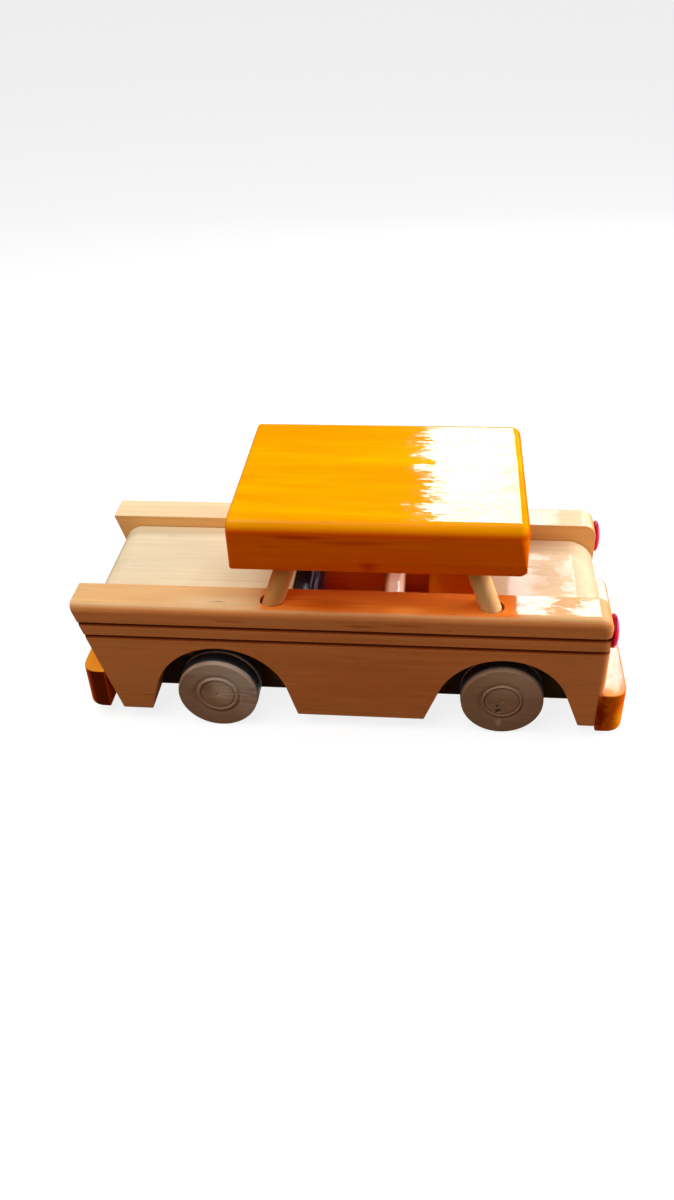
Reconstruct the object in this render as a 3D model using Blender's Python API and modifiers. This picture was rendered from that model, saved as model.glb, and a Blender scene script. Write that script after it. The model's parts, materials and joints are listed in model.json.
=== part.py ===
"""Wooden toy car: two side plates on a chassis board, bonnet, boot and a roof on dowel pillars.

Metres, +Z up. The car stands on z = 0, its nose points to -X and its left side faces -Y.
The wheels are glued to two dowel axles that turn in the chassis board.
"""

import math

import bmesh
import bpy
from mathutils import Matrix, Vector

# Clearances
GAP = 0.0003
AXLE_PLAY = 0.0003
PILLAR_HOLE_PLAY = 0.0006
WHEEL_SIDE_PLAY = 0.0005

# Side plates
BODY_WIDTH = 0.108
PLATE_HEIGHT = 0.0692
PLATE_THICKNESS = 0.0205
NOSE_RAKE = 0.0187
PLATE_ROUND = 0.0045
TAIL_CORNER_RADIUS = 0.007
GROOVE_DROPS = (0.0118, 0.0198)
GROOVE_RADIUS = 0.0012
GROOVE_PROUD = 0.0001
GROOVE_RUNOUT = 0.004

# Wheel arches
ARCH_RISE = 0.0071
FRONT_ARCH_RADIUS = 0.0366
FRONT_ARCH_FLARE = math.radians(16.0)
FRONT_ARCH_SETBACK = 0.0023
REAR_ARCH_RADIUS = 0.0352
REAR_ARCH_FLARE = math.radians(21.0)
REAR_ARCH_LEAD = 0.0002

# Wheels, tyres and axles
TYRE_RADIUS = 0.0219
TYRE_THICKNESS = 0.0015
TYRE_PROUD = 0.0003
RIM_WIDTH = 0.0028
RIM_ROUND = 0.0009
OUTER_BAND_WIDTH = 0.0072
RIDGE_WIDTH = 0.0010
INNER_BAND_WIDTH = 0.0052
BACK_FLANGE_WIDTH = 0.0008
HUB_PLATE_RADIUS = 0.0086
HUB_PLATE_DEPTH = 0.0006
HUB_DIMPLE_RADIUS = 0.0012
HUB_DIMPLE_DEPTH = 0.0005
BEAD_RADIUS = 0.0101
BEAD_HALF_WIDTH = 0.0010
BEAD_VALLEY = 0.0014
DISH_DEPTH = 0.0006
HUB_BOSS_RADIUS = 0.0080
FRONT_BOSS_HEIGHT = 0.0054
REAR_BOSS_HEIGHT = 0.0022
AXLE_RADIUS = 0.0040
AXLE_SOCKET_DEPTH = 0.0095
AXLE_ABOVE_SILL = 0.0135
FRONT_AXLE_SETBACK = 0.0730
WHEELBASE = 0.1510
REAR_AXLE_SETBACK = 0.0518

# Chassis board, bonnet and boot
AXLE_COVER = 0.0037
BONNET_LENGTH = 0.108
BONNET_DROP = 0.0064
BONNET_NOSE_RADIUS = 0.012
CABIN_LENGTH = 0.109
BOOT_DROP = 0.0097
BOOT_TAIL_RADIUS = 0.016

# Cabin fittings
DASH_DEPTH = 0.0140
DASH_HEIGHT = 0.0235
DASH_ROUND = 0.009
SEAT_BACK_SETBACK = 0.0515
SEAT_BACK_THICKNESS = 0.0105
SEAT_BACK_HEIGHT = 0.027
SEAT_BACK_ROUND = 0.003
REAR_SEAT_DEPTH = 0.0335
REAR_SEAT_HEIGHT = 0.018
REAR_SEAT_ROUND = 0.004

# Roof and pillars
HEADROOM = 0.0256
ROOF_THICKNESS = 0.0265
ROOF_WIDTH = 0.108
ROOF_FRONT_OVERHANG = 0.0277
ROOF_REAR_OVERHANG = 0.0247
ROOF_SIDE_ROUND = 0.006
ROOF_FRONT_ROUND = 0.002
ROOF_REAR_ROUND = 0.005
ROOF_TAIL_CHAMFER = 0.004
PILLAR_RADIUS = 0.0052
PILLAR_LEAN = math.radians(19.0)
PILLAR_SEAT_DEPTH = 0.013
FRONT_PILLAR_LEAD = 0.0024
REAR_PILLAR_LEAD = 0.0019

# Bumpers and tail lights
BUMPER_HEIGHT = 0.025
FRONT_BUMPER_DEPTH = 0.013
REAR_BUMPER_DEPTH = 0.0146
REBATE_DEPTH = 0.0028
FRONT_BUMPER_LIFT = 0.0002
BUMPER_CORNER_RADIUS = 0.009
TAIL_LIGHT_RADIUS = 0.0088
TAIL_LIGHT_RIM = 0.0010
TAIL_LIGHT_HEIGHT = 0.0034
TAIL_LIGHT_DROP = 0.0128
TAIL_STEM_RADIUS = 0.0030
TAIL_STEM_LENGTH = 0.009

# Hidden dowel pins
PIN_RADIUS = 0.0035
PIN_IN_PLATE = 0.012
PIN_IN_BOARD = 0.014
PIN_IN_BUMPER = 0.007
SILL_PIN_SPACING = 0.044
BUMPER_PIN_SPACING = 0.036
BLOCK_PIN_SETBACK = 0.0150

# Facets
TURN_STEPS = 32
DOWEL_SIDES = 16
ROUND_STEPS = 4
ARCH_STEPS = 18
TINY = 1e-5

# Heights worked out from the wheels up
HALF_FACET = math.pi / TURN_STEPS
AXLE_Z = TYRE_RADIUS * math.cos(HALF_FACET)
SILL_Z = AXLE_Z - AXLE_ABOVE_SILL
PLATE_TOP_Z = SILL_Z + PLATE_HEIGHT
CHASSIS_TOP_Z = AXLE_Z + AXLE_RADIUS + AXLE_PLAY + AXLE_COVER
FLOOR_Z = CHASSIS_TOP_Z + GAP
BONNET_TOP_Z = PLATE_TOP_Z - BONNET_DROP
BOOT_TOP_Z = PLATE_TOP_Z - BOOT_DROP
ROOF_BOTTOM_Z = PLATE_TOP_Z + HEADROOM
ROOF_TOP_Z = ROOF_BOTTOM_Z + ROOF_THICKNESS
TAIL_LIGHT_Z = PLATE_TOP_Z - TAIL_LIGHT_DROP


def nose_offset(z):
    """How far the raked front edge of the plates lies behind their top front corner."""
    return NOSE_RAKE * (PLATE_TOP_Z - z) / PLATE_HEIGHT


# Stations along the car
FRONT_BUMPER_BOTTOM_Z = SILL_Z + FRONT_BUMPER_LIFT
FRONT_BUMPER_TOP_Z = FRONT_BUMPER_BOTTOM_Z + BUMPER_HEIGHT
REAR_BUMPER_BOTTOM_Z = CHASSIS_TOP_Z - BUMPER_HEIGHT
FRONT_OVERHANG = FRONT_BUMPER_DEPTH + GAP - nose_offset(FRONT_BUMPER_TOP_Z)
BODY_LENGTH = FRONT_AXLE_SETBACK + WHEELBASE + REAR_AXLE_SETBACK
REAR_OVERHANG = REAR_BUMPER_DEPTH + GAP - REBATE_DEPTH
OVERALL_LENGTH = FRONT_OVERHANG + BODY_LENGTH + REAR_OVERHANG
BODY_FRONT_X = FRONT_OVERHANG - OVERALL_LENGTH / 2
BODY_REAR_X = BODY_FRONT_X + BODY_LENGTH
REBATE_X = BODY_REAR_X - REBATE_DEPTH
FRONT_BUMPER_REAR_X = BODY_FRONT_X + nose_offset(FRONT_BUMPER_TOP_Z) - GAP
CHASSIS_FRONT_X = FRONT_BUMPER_REAR_X + GAP
CABIN_FRONT_X = BODY_FRONT_X + BONNET_LENGTH
CABIN_REAR_X = CABIN_FRONT_X + CABIN_LENGTH
FRONT_AXLE_X = BODY_FRONT_X + FRONT_AXLE_SETBACK
REAR_AXLE_X = FRONT_AXLE_X + WHEELBASE
AXLE_XS = {"front": FRONT_AXLE_X, "rear": REAR_AXLE_X}
FRONT_ARCH_X = FRONT_AXLE_X + FRONT_ARCH_SETBACK
REAR_ARCH_X = REAR_AXLE_X - REAR_ARCH_LEAD
FRONT_PILLAR_X = CABIN_FRONT_X - FRONT_PILLAR_LEAD
REAR_PILLAR_X = CABIN_REAR_X - REAR_PILLAR_LEAD
PILLAR_RUN = HEADROOM * math.tan(PILLAR_LEAN)
ROOF_FRONT_X = FRONT_PILLAR_X + PILLAR_RUN - ROOF_FRONT_OVERHANG
ROOF_REAR_X = REAR_PILLAR_X - PILLAR_RUN + ROOF_REAR_OVERHANG

# Widths across the car
PLATE_OUTER_Y = BODY_WIDTH / 2
PLATE_INNER_Y = PLATE_OUTER_Y - PLATE_THICKNESS
PLATE_MID_Y = PLATE_OUTER_Y - PLATE_THICKNESS / 2
BOARD_HALF_WIDTH = PLATE_INNER_Y - GAP
WHEEL_WIDTH = RIM_WIDTH + OUTER_BAND_WIDTH + RIDGE_WIDTH + INNER_BAND_WIDTH + BACK_FLANGE_WIDTH
BOSS_HEIGHTS = {"front": FRONT_BOSS_HEIGHT, "rear": REAR_BOSS_HEIGHT}
BOSS_END_Y = BOARD_HALF_WIDTH + WHEEL_SIDE_PLAY
SIDES = {"left": -1, "right": 1}

PINE = ("pine_natural", (0.74, 0.50, 0.27), 0.38)
PALE_PINE = ("pine_pale", (0.86, 0.73, 0.52), 0.35)
ORANGE = ("orange_stain", (0.93, 0.40, 0.02), 0.22)
BLACK = ("black_lacquer", (0.015, 0.016, 0.02), 0.18)
WHEEL_WOOD = ("wheel_wood", (0.46, 0.37, 0.30), 0.55)
DOWEL = ("dowel_wood", (0.72, 0.53, 0.33), 0.5)
RUBBER = ("tyre_rubber", (0.012, 0.012, 0.013), 0.6)
RED = ("red_lens", (0.75, 0.01, 0.08), 0.12)


def clear_scene():
    for item in list(bpy.data.objects):
        bpy.data.objects.remove(item, do_unlink=True)


def new_collection(name):
    found = bpy.data.collections.get(name)
    if found is None:
        found = bpy.data.collections.new(name)
        bpy.context.scene.collection.children.link(found)
    return found


def material(finish):
    name, colour, roughness = finish
    found = bpy.data.materials.get(name)
    if found is None:
        found = bpy.data.materials.new(name)
        found.use_nodes = True
        shader = found.node_tree.nodes["Principled BSDF"]
        shader.inputs["Base Color"].default_value = (*colour, 1.0)
        shader.inputs["Roughness"].default_value = roughness
        shader.inputs["Metallic"].default_value = 0.0
    return found


def add_part(name, mesh, placement, finish):
    part = bpy.data.objects.new(name, mesh)
    PARTS.objects.link(part)
    part.matrix_world = placement
    mesh.materials.clear()
    mesh.materials.append(material(finish))
    return part


def add_cutter(name, mesh, placement):
    cutter = bpy.data.objects.new(name, mesh)
    CUTTERS.objects.link(cutter)
    cutter.matrix_world = placement
    cutter.hide_render = True
    cutter.display_type = "WIRE"
    return cutter


def cut(part, cutter):
    boolean = part.modifiers.new(cutter.name, "BOOLEAN")
    boolean.operation = "DIFFERENCE"
    boolean.solver = "EXACT"
    boolean.object = cutter


def box_mesh(name, size):
    shape = bmesh.new()
    bmesh.ops.create_cube(shape, size=1.0)
    bmesh.ops.scale(shape, vec=size, verts=shape.verts)
    mesh = bpy.data.meshes.new(name)
    shape.to_mesh(mesh)
    shape.free()
    return mesh


def add_box(name, low, high, finish):
    low = Vector(low)
    high = Vector(high)
    return add_part(name, box_mesh(name, high - low), Matrix.Translation((low + high) / 2), finish)


def rod_mesh(name, radius, length, sides):
    shape = bmesh.new()
    bmesh.ops.create_cone(
        shape, cap_ends=True, segments=sides, radius1=radius, radius2=radius, depth=length
    )
    mesh = bpy.data.meshes.new(name)
    shape.to_mesh(mesh)
    shape.free()
    mesh.shade_smooth()
    mesh.set_sharp_from_angle(angle=math.radians(40))
    return mesh


def rod_placement(start, end):
    along = end - start
    turn = Vector((0, 0, 1)).rotation_difference(along).to_matrix().to_4x4()
    return Matrix.Translation((start + end) / 2) @ turn


def add_rod(name, start, end, radius, finish):
    start = Vector(start)
    end = Vector(end)
    mesh = rod_mesh(name, radius, (end - start).length, DOWEL_SIDES)
    return add_part(name, mesh, rod_placement(start, end), finish)


def bore(name, start, end, radius):
    start = Vector(start)
    end = Vector(end)
    mesh = rod_mesh(name, radius, (end - start).length, DOWEL_SIDES)
    return add_cutter(name, mesh, rod_placement(start, end))


def arc(centre, radius, start, end, steps):
    angles = [start + (end - start) * i / steps for i in range(steps + 1)]
    return [(centre[0] + radius * math.cos(a), centre[1] + radius * math.sin(a)) for a in angles]


def curve_to_mesh(curve, name):
    """Turn a curve into a closed mesh whose flat faces are single polygons."""
    holder = bpy.data.objects.new(name, curve)
    bpy.context.scene.collection.objects.link(holder)
    graph = bpy.context.evaluated_depsgraph_get()
    mesh = bpy.data.meshes.new_from_object(holder.evaluated_get(graph))
    bpy.data.objects.remove(holder, do_unlink=True)
    bpy.data.curves.remove(curve)
    mesh.name = name
    shape = bmesh.new()
    shape.from_mesh(mesh)
    bmesh.ops.remove_doubles(shape, verts=shape.verts, dist=TINY)
    bmesh.ops.dissolve_limit(
        shape, angle_limit=math.radians(0.5), verts=shape.verts, edges=shape.edges
    )
    bmesh.ops.recalc_face_normals(shape, faces=shape.faces)
    shape.to_mesh(mesh)
    shape.free()
    return mesh


def outline_mesh(name, outline, thickness):
    """Closed board from a flat outline, centred on its own thickness."""
    curve = bpy.data.curves.new(name, "CURVE")
    curve.dimensions = "2D"
    curve.fill_mode = "BOTH"
    curve.extrude = thickness / 2
    spline = curve.splines.new("POLY")
    spline.points.add(len(outline) - 1)
    for point, (u, v) in zip(spline.points, outline):
        point.co = (u, v, 0.0, 1.0)
    spline.use_cyclic_u = True
    return curve_to_mesh(curve, name)


def upright(y):
    """Stands an outline drawn in x and z across the car at y."""
    return Matrix.Translation((0, y, 0)) @ Matrix.Rotation(math.radians(90), 4, "X")


def round_edges(part, belongs, radius, steps):
    """Round the edges whose two end points, in world space, pass the test."""
    place = part.matrix_world.copy()
    shape = bmesh.new()
    shape.from_mesh(part.data)
    picked = [e for e in shape.edges if belongs(place @ e.verts[0].co, place @ e.verts[1].co)]
    bmesh.ops.bevel(
        shape,
        geom=picked,
        offset=radius,
        offset_type="OFFSET",
        segments=steps,
        profile=0.5,
        affect="EDGES",
        clamp_overlap=True,
    )
    shape.to_mesh(part.data)
    shape.free()


def near(value, target):
    return abs(value - target) < TINY


def turned_mesh(name, profile, closed):
    """Profile of (radius, height) points, running down the outer side, for a Screw modifier."""
    mesh = bpy.data.meshes.new(name)
    points = [
        (r * math.cos(HALF_FACET), r * math.sin(HALF_FACET), h) for r, h in profile
    ]
    edges = [(i, i + 1) for i in range(len(points) - 1)]
    if closed:
        edges.append((len(points) - 1, 0))
    mesh.from_pydata(points, edges, [])
    return mesh


def add_turned(name, profile, closed, placement, finish):
    part = add_part(name, turned_mesh(name, profile, closed), placement, finish)
    screw = part.modifiers.new("turn", "SCREW")
    screw.axis = "Z"
    screw.steps = TURN_STEPS
    screw.render_steps = TURN_STEPS
    screw.use_merge_vertices = True
    screw.merge_threshold = TINY
    screw.use_smooth_shade = True
    return part


def arch_outline(x, radius, flare):
    """Side view of a wheel arch: a round crown on straight legs that flare out to the sill."""
    leg_height = ARCH_RISE + radius * math.sin(flare)
    half_mouth = radius * math.cos(flare) + leg_height * math.tan(flare)
    crown = arc((x, SILL_Z + ARCH_RISE), radius, math.pi - flare, flare, ARCH_STEPS)
    return [(x - half_mouth, SILL_Z), *crown, (x + half_mouth, SILL_Z)]


def plate_outline():
    """Side view of a plate: raked nose, two wheel arches and a rounded tail corner."""
    outline = [(BODY_FRONT_X + NOSE_RAKE, SILL_Z)]
    outline += arch_outline(FRONT_ARCH_X, FRONT_ARCH_RADIUS, FRONT_ARCH_FLARE)
    outline += arch_outline(REAR_ARCH_X, REAR_ARCH_RADIUS, REAR_ARCH_FLARE)
    outline.append((BODY_REAR_X, SILL_Z))
    corner = (BODY_REAR_X - TAIL_CORNER_RADIUS, PLATE_TOP_Z - TAIL_CORNER_RADIUS)
    outline += arc(corner, TAIL_CORNER_RADIUS, 0.0, math.pi / 2, ROUND_STEPS)
    outline.append((BODY_FRONT_X, PLATE_TOP_Z))
    return outline


def groove_cutter(name, side, z):
    """Round bar that follows the outer face and bends round the rounded tail edge."""
    outer = PLATE_OUTER_Y + GROOVE_PROUD
    tail = BODY_REAR_X + GROOVE_PROUD
    centre = (tail - PLATE_ROUND, outer - PLATE_ROUND)
    path = [(BODY_FRONT_X - PLATE_ROUND, outer)]
    path += arc(centre, PLATE_ROUND, math.pi / 2, 0.0, ROUND_STEPS)
    path.append((tail + 2 * GROOVE_RADIUS, outer - PLATE_ROUND - GROOVE_RUNOUT))
    curve = bpy.data.curves.new(name, "CURVE")
    curve.dimensions = "3D"
    curve.bevel_depth = GROOVE_RADIUS
    curve.bevel_resolution = 1
    curve.use_fill_caps = True
    spline = curve.splines.new("POLY")
    spline.points.add(len(path) - 1)
    for point, (x, y) in zip(spline.points, path):
        point.co = (x, side * y, z, 1.0)
    return add_cutter(name, curve_to_mesh(curve, name), Matrix.Identity(4))


def rebate_cutter(name):
    """Block that clears the rear bumper's seat at the foot of a plate's tail."""
    low = Vector((REBATE_X, -BODY_WIDTH, REAR_BUMPER_BOTTOM_Z - BUMPER_HEIGHT))
    high = Vector((BODY_REAR_X + BUMPER_HEIGHT, BODY_WIDTH, FLOOR_Z))
    return add_cutter(name, box_mesh(name, high - low), Matrix.Translation((low + high) / 2))


def make_side_plate(word, side):
    name = f"side_plate_{word}"
    mesh = outline_mesh(name, plate_outline(), PLATE_THICKNESS)
    plate = add_part(name, mesh, upright(side * PLATE_MID_Y), PINE)

    def outer_top_or_tail(a, b):
        outside = near(a.y, side * PLATE_OUTER_Y) and near(b.y, side * PLATE_OUTER_Y)
        on_top = min(a.z, b.z) > PLATE_TOP_Z - TAIL_CORNER_RADIUS - TINY and not near(a.x, b.x)
        on_tail = near(a.x, BODY_REAR_X) and near(b.x, BODY_REAR_X)
        on_nose = min(a.z, b.z) < SILL_Z + TINY and not on_tail
        return outside and (on_top or on_tail) and not on_nose

    round_edges(plate, outer_top_or_tail, PLATE_ROUND, ROUND_STEPS)
    cut(plate, rebate_cutter(f"cut_rebate_{word}"))
    for number, drop in enumerate(GROOVE_DROPS, start=1):
        cut(plate, groove_cutter(f"cut_groove_{word}_{number}", side, PLATE_TOP_Z - drop))
    return plate


def make_chassis():
    low = (CHASSIS_FRONT_X, -BOARD_HALF_WIDTH, SILL_Z)
    high = (REBATE_X, BOARD_HALF_WIDTH, CHASSIS_TOP_Z)
    chassis = add_box("chassis_board", low, high, ORANGE)
    for word, axle_x in AXLE_XS.items():
        start = (axle_x, -PLATE_OUTER_Y, AXLE_Z)
        end = (axle_x, PLATE_OUTER_Y, AXLE_Z)
        cut(chassis, bore(f"cut_axle_{word}", start, end, AXLE_RADIUS + AXLE_PLAY))
    return chassis


def make_bonnet():
    """Block between the plates whose front follows their rake under a rounded nose."""
    lean = math.atan2(NOSE_RAKE, PLATE_HEIGHT)
    tangent = BONNET_NOSE_RADIUS / math.tan((math.pi / 2 - lean) / 2)
    corner_x = BODY_FRONT_X + nose_offset(BONNET_TOP_Z)
    centre = (corner_x + tangent, BONNET_TOP_Z - BONNET_NOSE_RADIUS)
    outline = [
        (BODY_FRONT_X + nose_offset(FLOOR_Z), FLOOR_Z),
        (CABIN_FRONT_X, FLOOR_Z),
        (CABIN_FRONT_X, BONNET_TOP_Z),
    ]
    outline += arc(centre, BONNET_NOSE_RADIUS, math.pi / 2, math.pi + lean, 2 * ROUND_STEPS)
    mesh = outline_mesh("bonnet_block", outline, 2 * BOARD_HALF_WIDTH)
    return add_part("bonnet_block", mesh, upright(0.0), PALE_PINE)


def make_boot():
    centre = (BODY_REAR_X - BOOT_TAIL_RADIUS, BOOT_TOP_Z - BOOT_TAIL_RADIUS)
    outline = [(CABIN_REAR_X, FLOOR_Z), (BODY_REAR_X, FLOOR_Z)]
    outline += arc(centre, BOOT_TAIL_RADIUS, 0.0, math.pi / 2, 2 * ROUND_STEPS)
    outline.append((CABIN_REAR_X, BOOT_TOP_Z))
    mesh = outline_mesh("boot_block", outline, 2 * BOARD_HALF_WIDTH)
    return add_part("boot_block", mesh, upright(0.0), PALE_PINE)


def make_cabin_fitting(name, front_x, rear_x, height, rounded_xs, radius, finish):
    """Board across the cabin floor, with its listed top edges rounded."""
    low = (front_x, -BOARD_HALF_WIDTH, FLOOR_Z)
    high = (rear_x, BOARD_HALF_WIDTH, FLOOR_Z + height)
    fitting = add_box(name, low, high, finish)

    def top_edge(a, b):
        on_top = near(a.z, FLOOR_Z + height) and near(b.z, FLOOR_Z + height)
        return on_top and any(near(a.x, x) and near(b.x, x) for x in rounded_xs)

    round_edges(fitting, top_edge, radius, ROUND_STEPS)
    return fitting


def make_cabin():
    dash_front = CABIN_FRONT_X + GAP
    dash_rear = dash_front + DASH_DEPTH
    make_cabin_fitting(
        "dashboard", dash_front, dash_rear, DASH_HEIGHT, [dash_rear], DASH_ROUND, BLACK
    )
    back_front = CABIN_FRONT_X + SEAT_BACK_SETBACK
    back_rear = back_front + SEAT_BACK_THICKNESS
    make_cabin_fitting(
        "front_seat_back", back_front, back_rear, SEAT_BACK_HEIGHT,
        [back_front, back_rear], SEAT_BACK_ROUND, PALE_PINE,
    )
    seat_rear = CABIN_REAR_X - GAP
    seat_front = seat_rear - REAR_SEAT_DEPTH
    make_cabin_fitting(
        "rear_seat", seat_front, seat_rear, REAR_SEAT_HEIGHT, [seat_front], REAR_SEAT_ROUND, ORANGE
    )


def make_roof():
    half = ROOF_WIDTH / 2
    low = (ROOF_FRONT_X, -half, ROOF_BOTTOM_Z)
    high = (ROOF_REAR_X, half, ROOF_TOP_Z)
    roof = add_box("roof", low, high, ORANGE)

    def lower_tail(a, b):
        at_tail = near(a.x, ROOF_REAR_X) and near(b.x, ROOF_REAR_X)
        return at_tail and near(a.z, ROOF_BOTTOM_Z) and near(b.z, ROOF_BOTTOM_Z)

    def long_top(a, b):
        on_top = near(a.z, ROOF_TOP_Z) and near(b.z, ROOF_TOP_Z)
        return on_top and near(a.y, b.y)

    def rim_at(x):
        def on_rim(a, b):
            lying_low = near(a.z, b.z) and a.z < ROOF_BOTTOM_Z + ROOF_TAIL_CHAMFER + TINY
            return near(a.x, x) and near(b.x, x) and not lying_low
        return on_rim

    round_edges(roof, lower_tail, ROOF_TAIL_CHAMFER, 1)
    round_edges(roof, long_top, ROOF_SIDE_ROUND, ROUND_STEPS)
    round_edges(roof, rim_at(ROOF_FRONT_X), ROOF_FRONT_ROUND, ROUND_STEPS // 2)
    round_edges(roof, rim_at(ROOF_REAR_X), ROOF_REAR_ROUND, ROUND_STEPS)
    return roof


def make_pillars(roof, plates):
    for row, base_x, lean in (("front", FRONT_PILLAR_X, 1), ("rear", REAR_PILLAR_X, -1)):
        for word, side in SIDES.items():
            along = Vector((lean * math.sin(PILLAR_LEAN), 0.0, math.cos(PILLAR_LEAN)))
            base = Vector((base_x, side * PLATE_MID_Y, PLATE_TOP_Z))
            top = base + along * (HEADROOM / math.cos(PILLAR_LEAN))
            foot = base - along * PILLAR_SEAT_DEPTH
            head = top + along * PILLAR_SEAT_DEPTH
            add_rod(f"pillar_{row}_{word}", foot, head, PILLAR_RADIUS, DOWEL)
            middle = (base + top) / 2
            lower = bore(
                f"cut_plate_{row}_{word}", foot - along * GAP, middle, PILLAR_RADIUS + PILLAR_HOLE_PLAY
            )
            upper = bore(f"cut_roof_{row}_{word}", middle, head + along * GAP, PILLAR_RADIUS + GAP)
            cut(plates[word], lower)
            cut(roof, upper)


def make_bumper(name, flat_x, outward, depth, bottom_z):
    """Full-width block with rounded outer corners; outward is -1 at the nose, +1 at the tail."""
    half = PLATE_OUTER_Y
    edge_x = flat_x + outward * depth
    inset_x = edge_x - outward * BUMPER_CORNER_RADIUS
    inset_y = half - BUMPER_CORNER_RADIUS
    outline = [(flat_x, -half)]
    for side in (-1, 1):
        turn = arc((0.0, 0.0), BUMPER_CORNER_RADIUS, 0.0, math.pi / 2, ROUND_STEPS)
        corner = [(inset_x + outward * u, side * (inset_y + v)) for u, v in turn]
        outline += corner[::-1] if side < 0 else corner
    outline.append((flat_x, half))
    mesh = outline_mesh(name, outline, BUMPER_HEIGHT)
    return add_part(name, mesh, Matrix.Translation((0, 0, bottom_z + BUMPER_HEIGHT / 2)), ORANGE)


def make_tail_light(word, side, plate):
    """Domed lens on a stem that is glued into the end of the plate."""
    y = side * PLATE_MID_Y
    rise = TAIL_LIGHT_HEIGHT - TAIL_LIGHT_RIM
    steps = 2 * ROUND_STEPS
    angles = [math.pi / 2 * (1 - i / steps) for i in range(steps + 1)]
    dome = [(TAIL_LIGHT_RADIUS * math.cos(a), TAIL_LIGHT_RIM + rise * math.sin(a)) for a in angles]
    dome[0] = (0.0, TAIL_LIGHT_HEIGHT)
    profile = dome + [
        (TAIL_LIGHT_RADIUS, 0.0),
        (TAIL_STEM_RADIUS, 0.0),
        (TAIL_STEM_RADIUS, -TAIL_STEM_LENGTH),
        (0.0, -TAIL_STEM_LENGTH),
    ]
    seat = Vector((BODY_REAR_X + GAP, y, TAIL_LIGHT_Z))
    placement = Matrix.Translation(seat) @ Matrix.Rotation(math.radians(90), 4, "Y")
    add_turned(f"tail_light_{word}", profile, False, placement, RED)
    start = (BODY_REAR_X - TAIL_STEM_LENGTH, y, TAIL_LIGHT_Z)
    end = (BODY_REAR_X + TAIL_LIGHT_HEIGHT, y, TAIL_LIGHT_Z)
    cut(plate, bore(f"cut_tail_{word}", start, end, TAIL_STEM_RADIUS + GAP))


def wheel_profile(boss_height):
    """Half section of a wheel, from the face's centre round the tread to the axle socket.

    Heights run from the back face at 0 to the outer face at WHEEL_WIDTH; the boss is behind 0.
    """
    face = WHEEL_WIDTH
    rim = TYRE_RADIUS - TYRE_PROUD
    bed = TYRE_RADIUS - TYRE_THICKNESS - GAP
    outer_bed = face - RIM_WIDTH
    ridge_top = outer_bed - OUTER_BAND_WIDTH
    ridge_bottom = ridge_top - RIDGE_WIDTH
    hub = face - HUB_PLATE_DEPTH
    socket = AXLE_RADIUS + GAP
    rim_round = arc((rim - RIM_ROUND, face - RIM_ROUND), RIM_ROUND, math.pi / 2, 0.0, 2)
    centre = [
        (0.0, hub - HUB_DIMPLE_DEPTH),
        (HUB_DIMPLE_RADIUS, hub),
        (HUB_PLATE_RADIUS, hub),
        (BEAD_RADIUS - BEAD_HALF_WIDTH, face - BEAD_VALLEY),
        (BEAD_RADIUS, face),
        (BEAD_RADIUS + BEAD_HALF_WIDTH, face - BEAD_VALLEY),
        (BEAD_RADIUS + 2 * BEAD_HALF_WIDTH, face - DISH_DEPTH),
    ]
    tread = [
        (rim, outer_bed),
        (bed, outer_bed),
        (bed, ridge_top),
        (rim, ridge_top),
        (rim, ridge_bottom),
        (bed, ridge_bottom),
        (bed, BACK_FLANGE_WIDTH),
        (rim, BACK_FLANGE_WIDTH),
        (rim, 0.0),
        (HUB_BOSS_RADIUS, 0.0),
        (HUB_BOSS_RADIUS, -boss_height),
        (socket, -boss_height),
        (socket, AXLE_SOCKET_DEPTH - boss_height),
        (0.0, AXLE_SOCKET_DEPTH - boss_height),
    ]
    return centre + rim_round + tread


def band_profile(low, width):
    inner = TYRE_RADIUS - TYRE_THICKNESS
    bottom = low + GAP
    top = low + width - GAP
    return [(TYRE_RADIUS, top), (TYRE_RADIUS, bottom), (inner, bottom), (inner, top)]


def make_wheel(row, word, side, hub):
    """A turned wheel with two rubber bands, parented to the empty on its axle."""
    turn = Matrix.Rotation(math.radians(-90 * side), 4, "X")
    back_y = BOSS_END_Y + BOSS_HEIGHTS[row]
    place = Matrix.Translation((AXLE_XS[row], side * back_y, AXLE_Z)) @ turn
    inner_low = BACK_FLANGE_WIDTH
    outer_low = inner_low + INNER_BAND_WIDTH + RIDGE_WIDTH
    bands = {
        "outer": band_profile(outer_low, OUTER_BAND_WIDTH),
        "inner": band_profile(inner_low, INNER_BAND_WIDTH),
    }
    profile = wheel_profile(BOSS_HEIGHTS[row])
    pieces = [add_turned(f"wheel_{row}_{word}", profile, False, place, WHEEL_WOOD)]
    for layer, band in bands.items():
        pieces.append(add_turned(f"tyre_{layer}_{row}_{word}", band, True, place, RUBBER))
    for piece in pieces:
        hang_on(piece, hub)


def hang_on(piece, hub):
    piece.parent = hub
    piece.matrix_parent_inverse = hub.matrix_world.inverted()


def make_axle_set(row):
    """Empty on the axle's axis that carries the axle, both wheels and their tyres."""
    hub = bpy.data.objects.new(f"axis_{row}", None)
    PARTS.objects.link(hub)
    hub.matrix_world = Matrix.Translation((AXLE_XS[row], 0.0, AXLE_Z))
    reach = BOSS_END_Y + AXLE_SOCKET_DEPTH - GAP
    start = (AXLE_XS[row], -reach, AXLE_Z)
    end = (AXLE_XS[row], reach, AXLE_Z)
    hang_on(add_rod(f"axle_{row}", start, end, AXLE_RADIUS, DOWEL), hub)
    for word, side in SIDES.items():
        make_wheel(row, word, side, hub)


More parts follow.
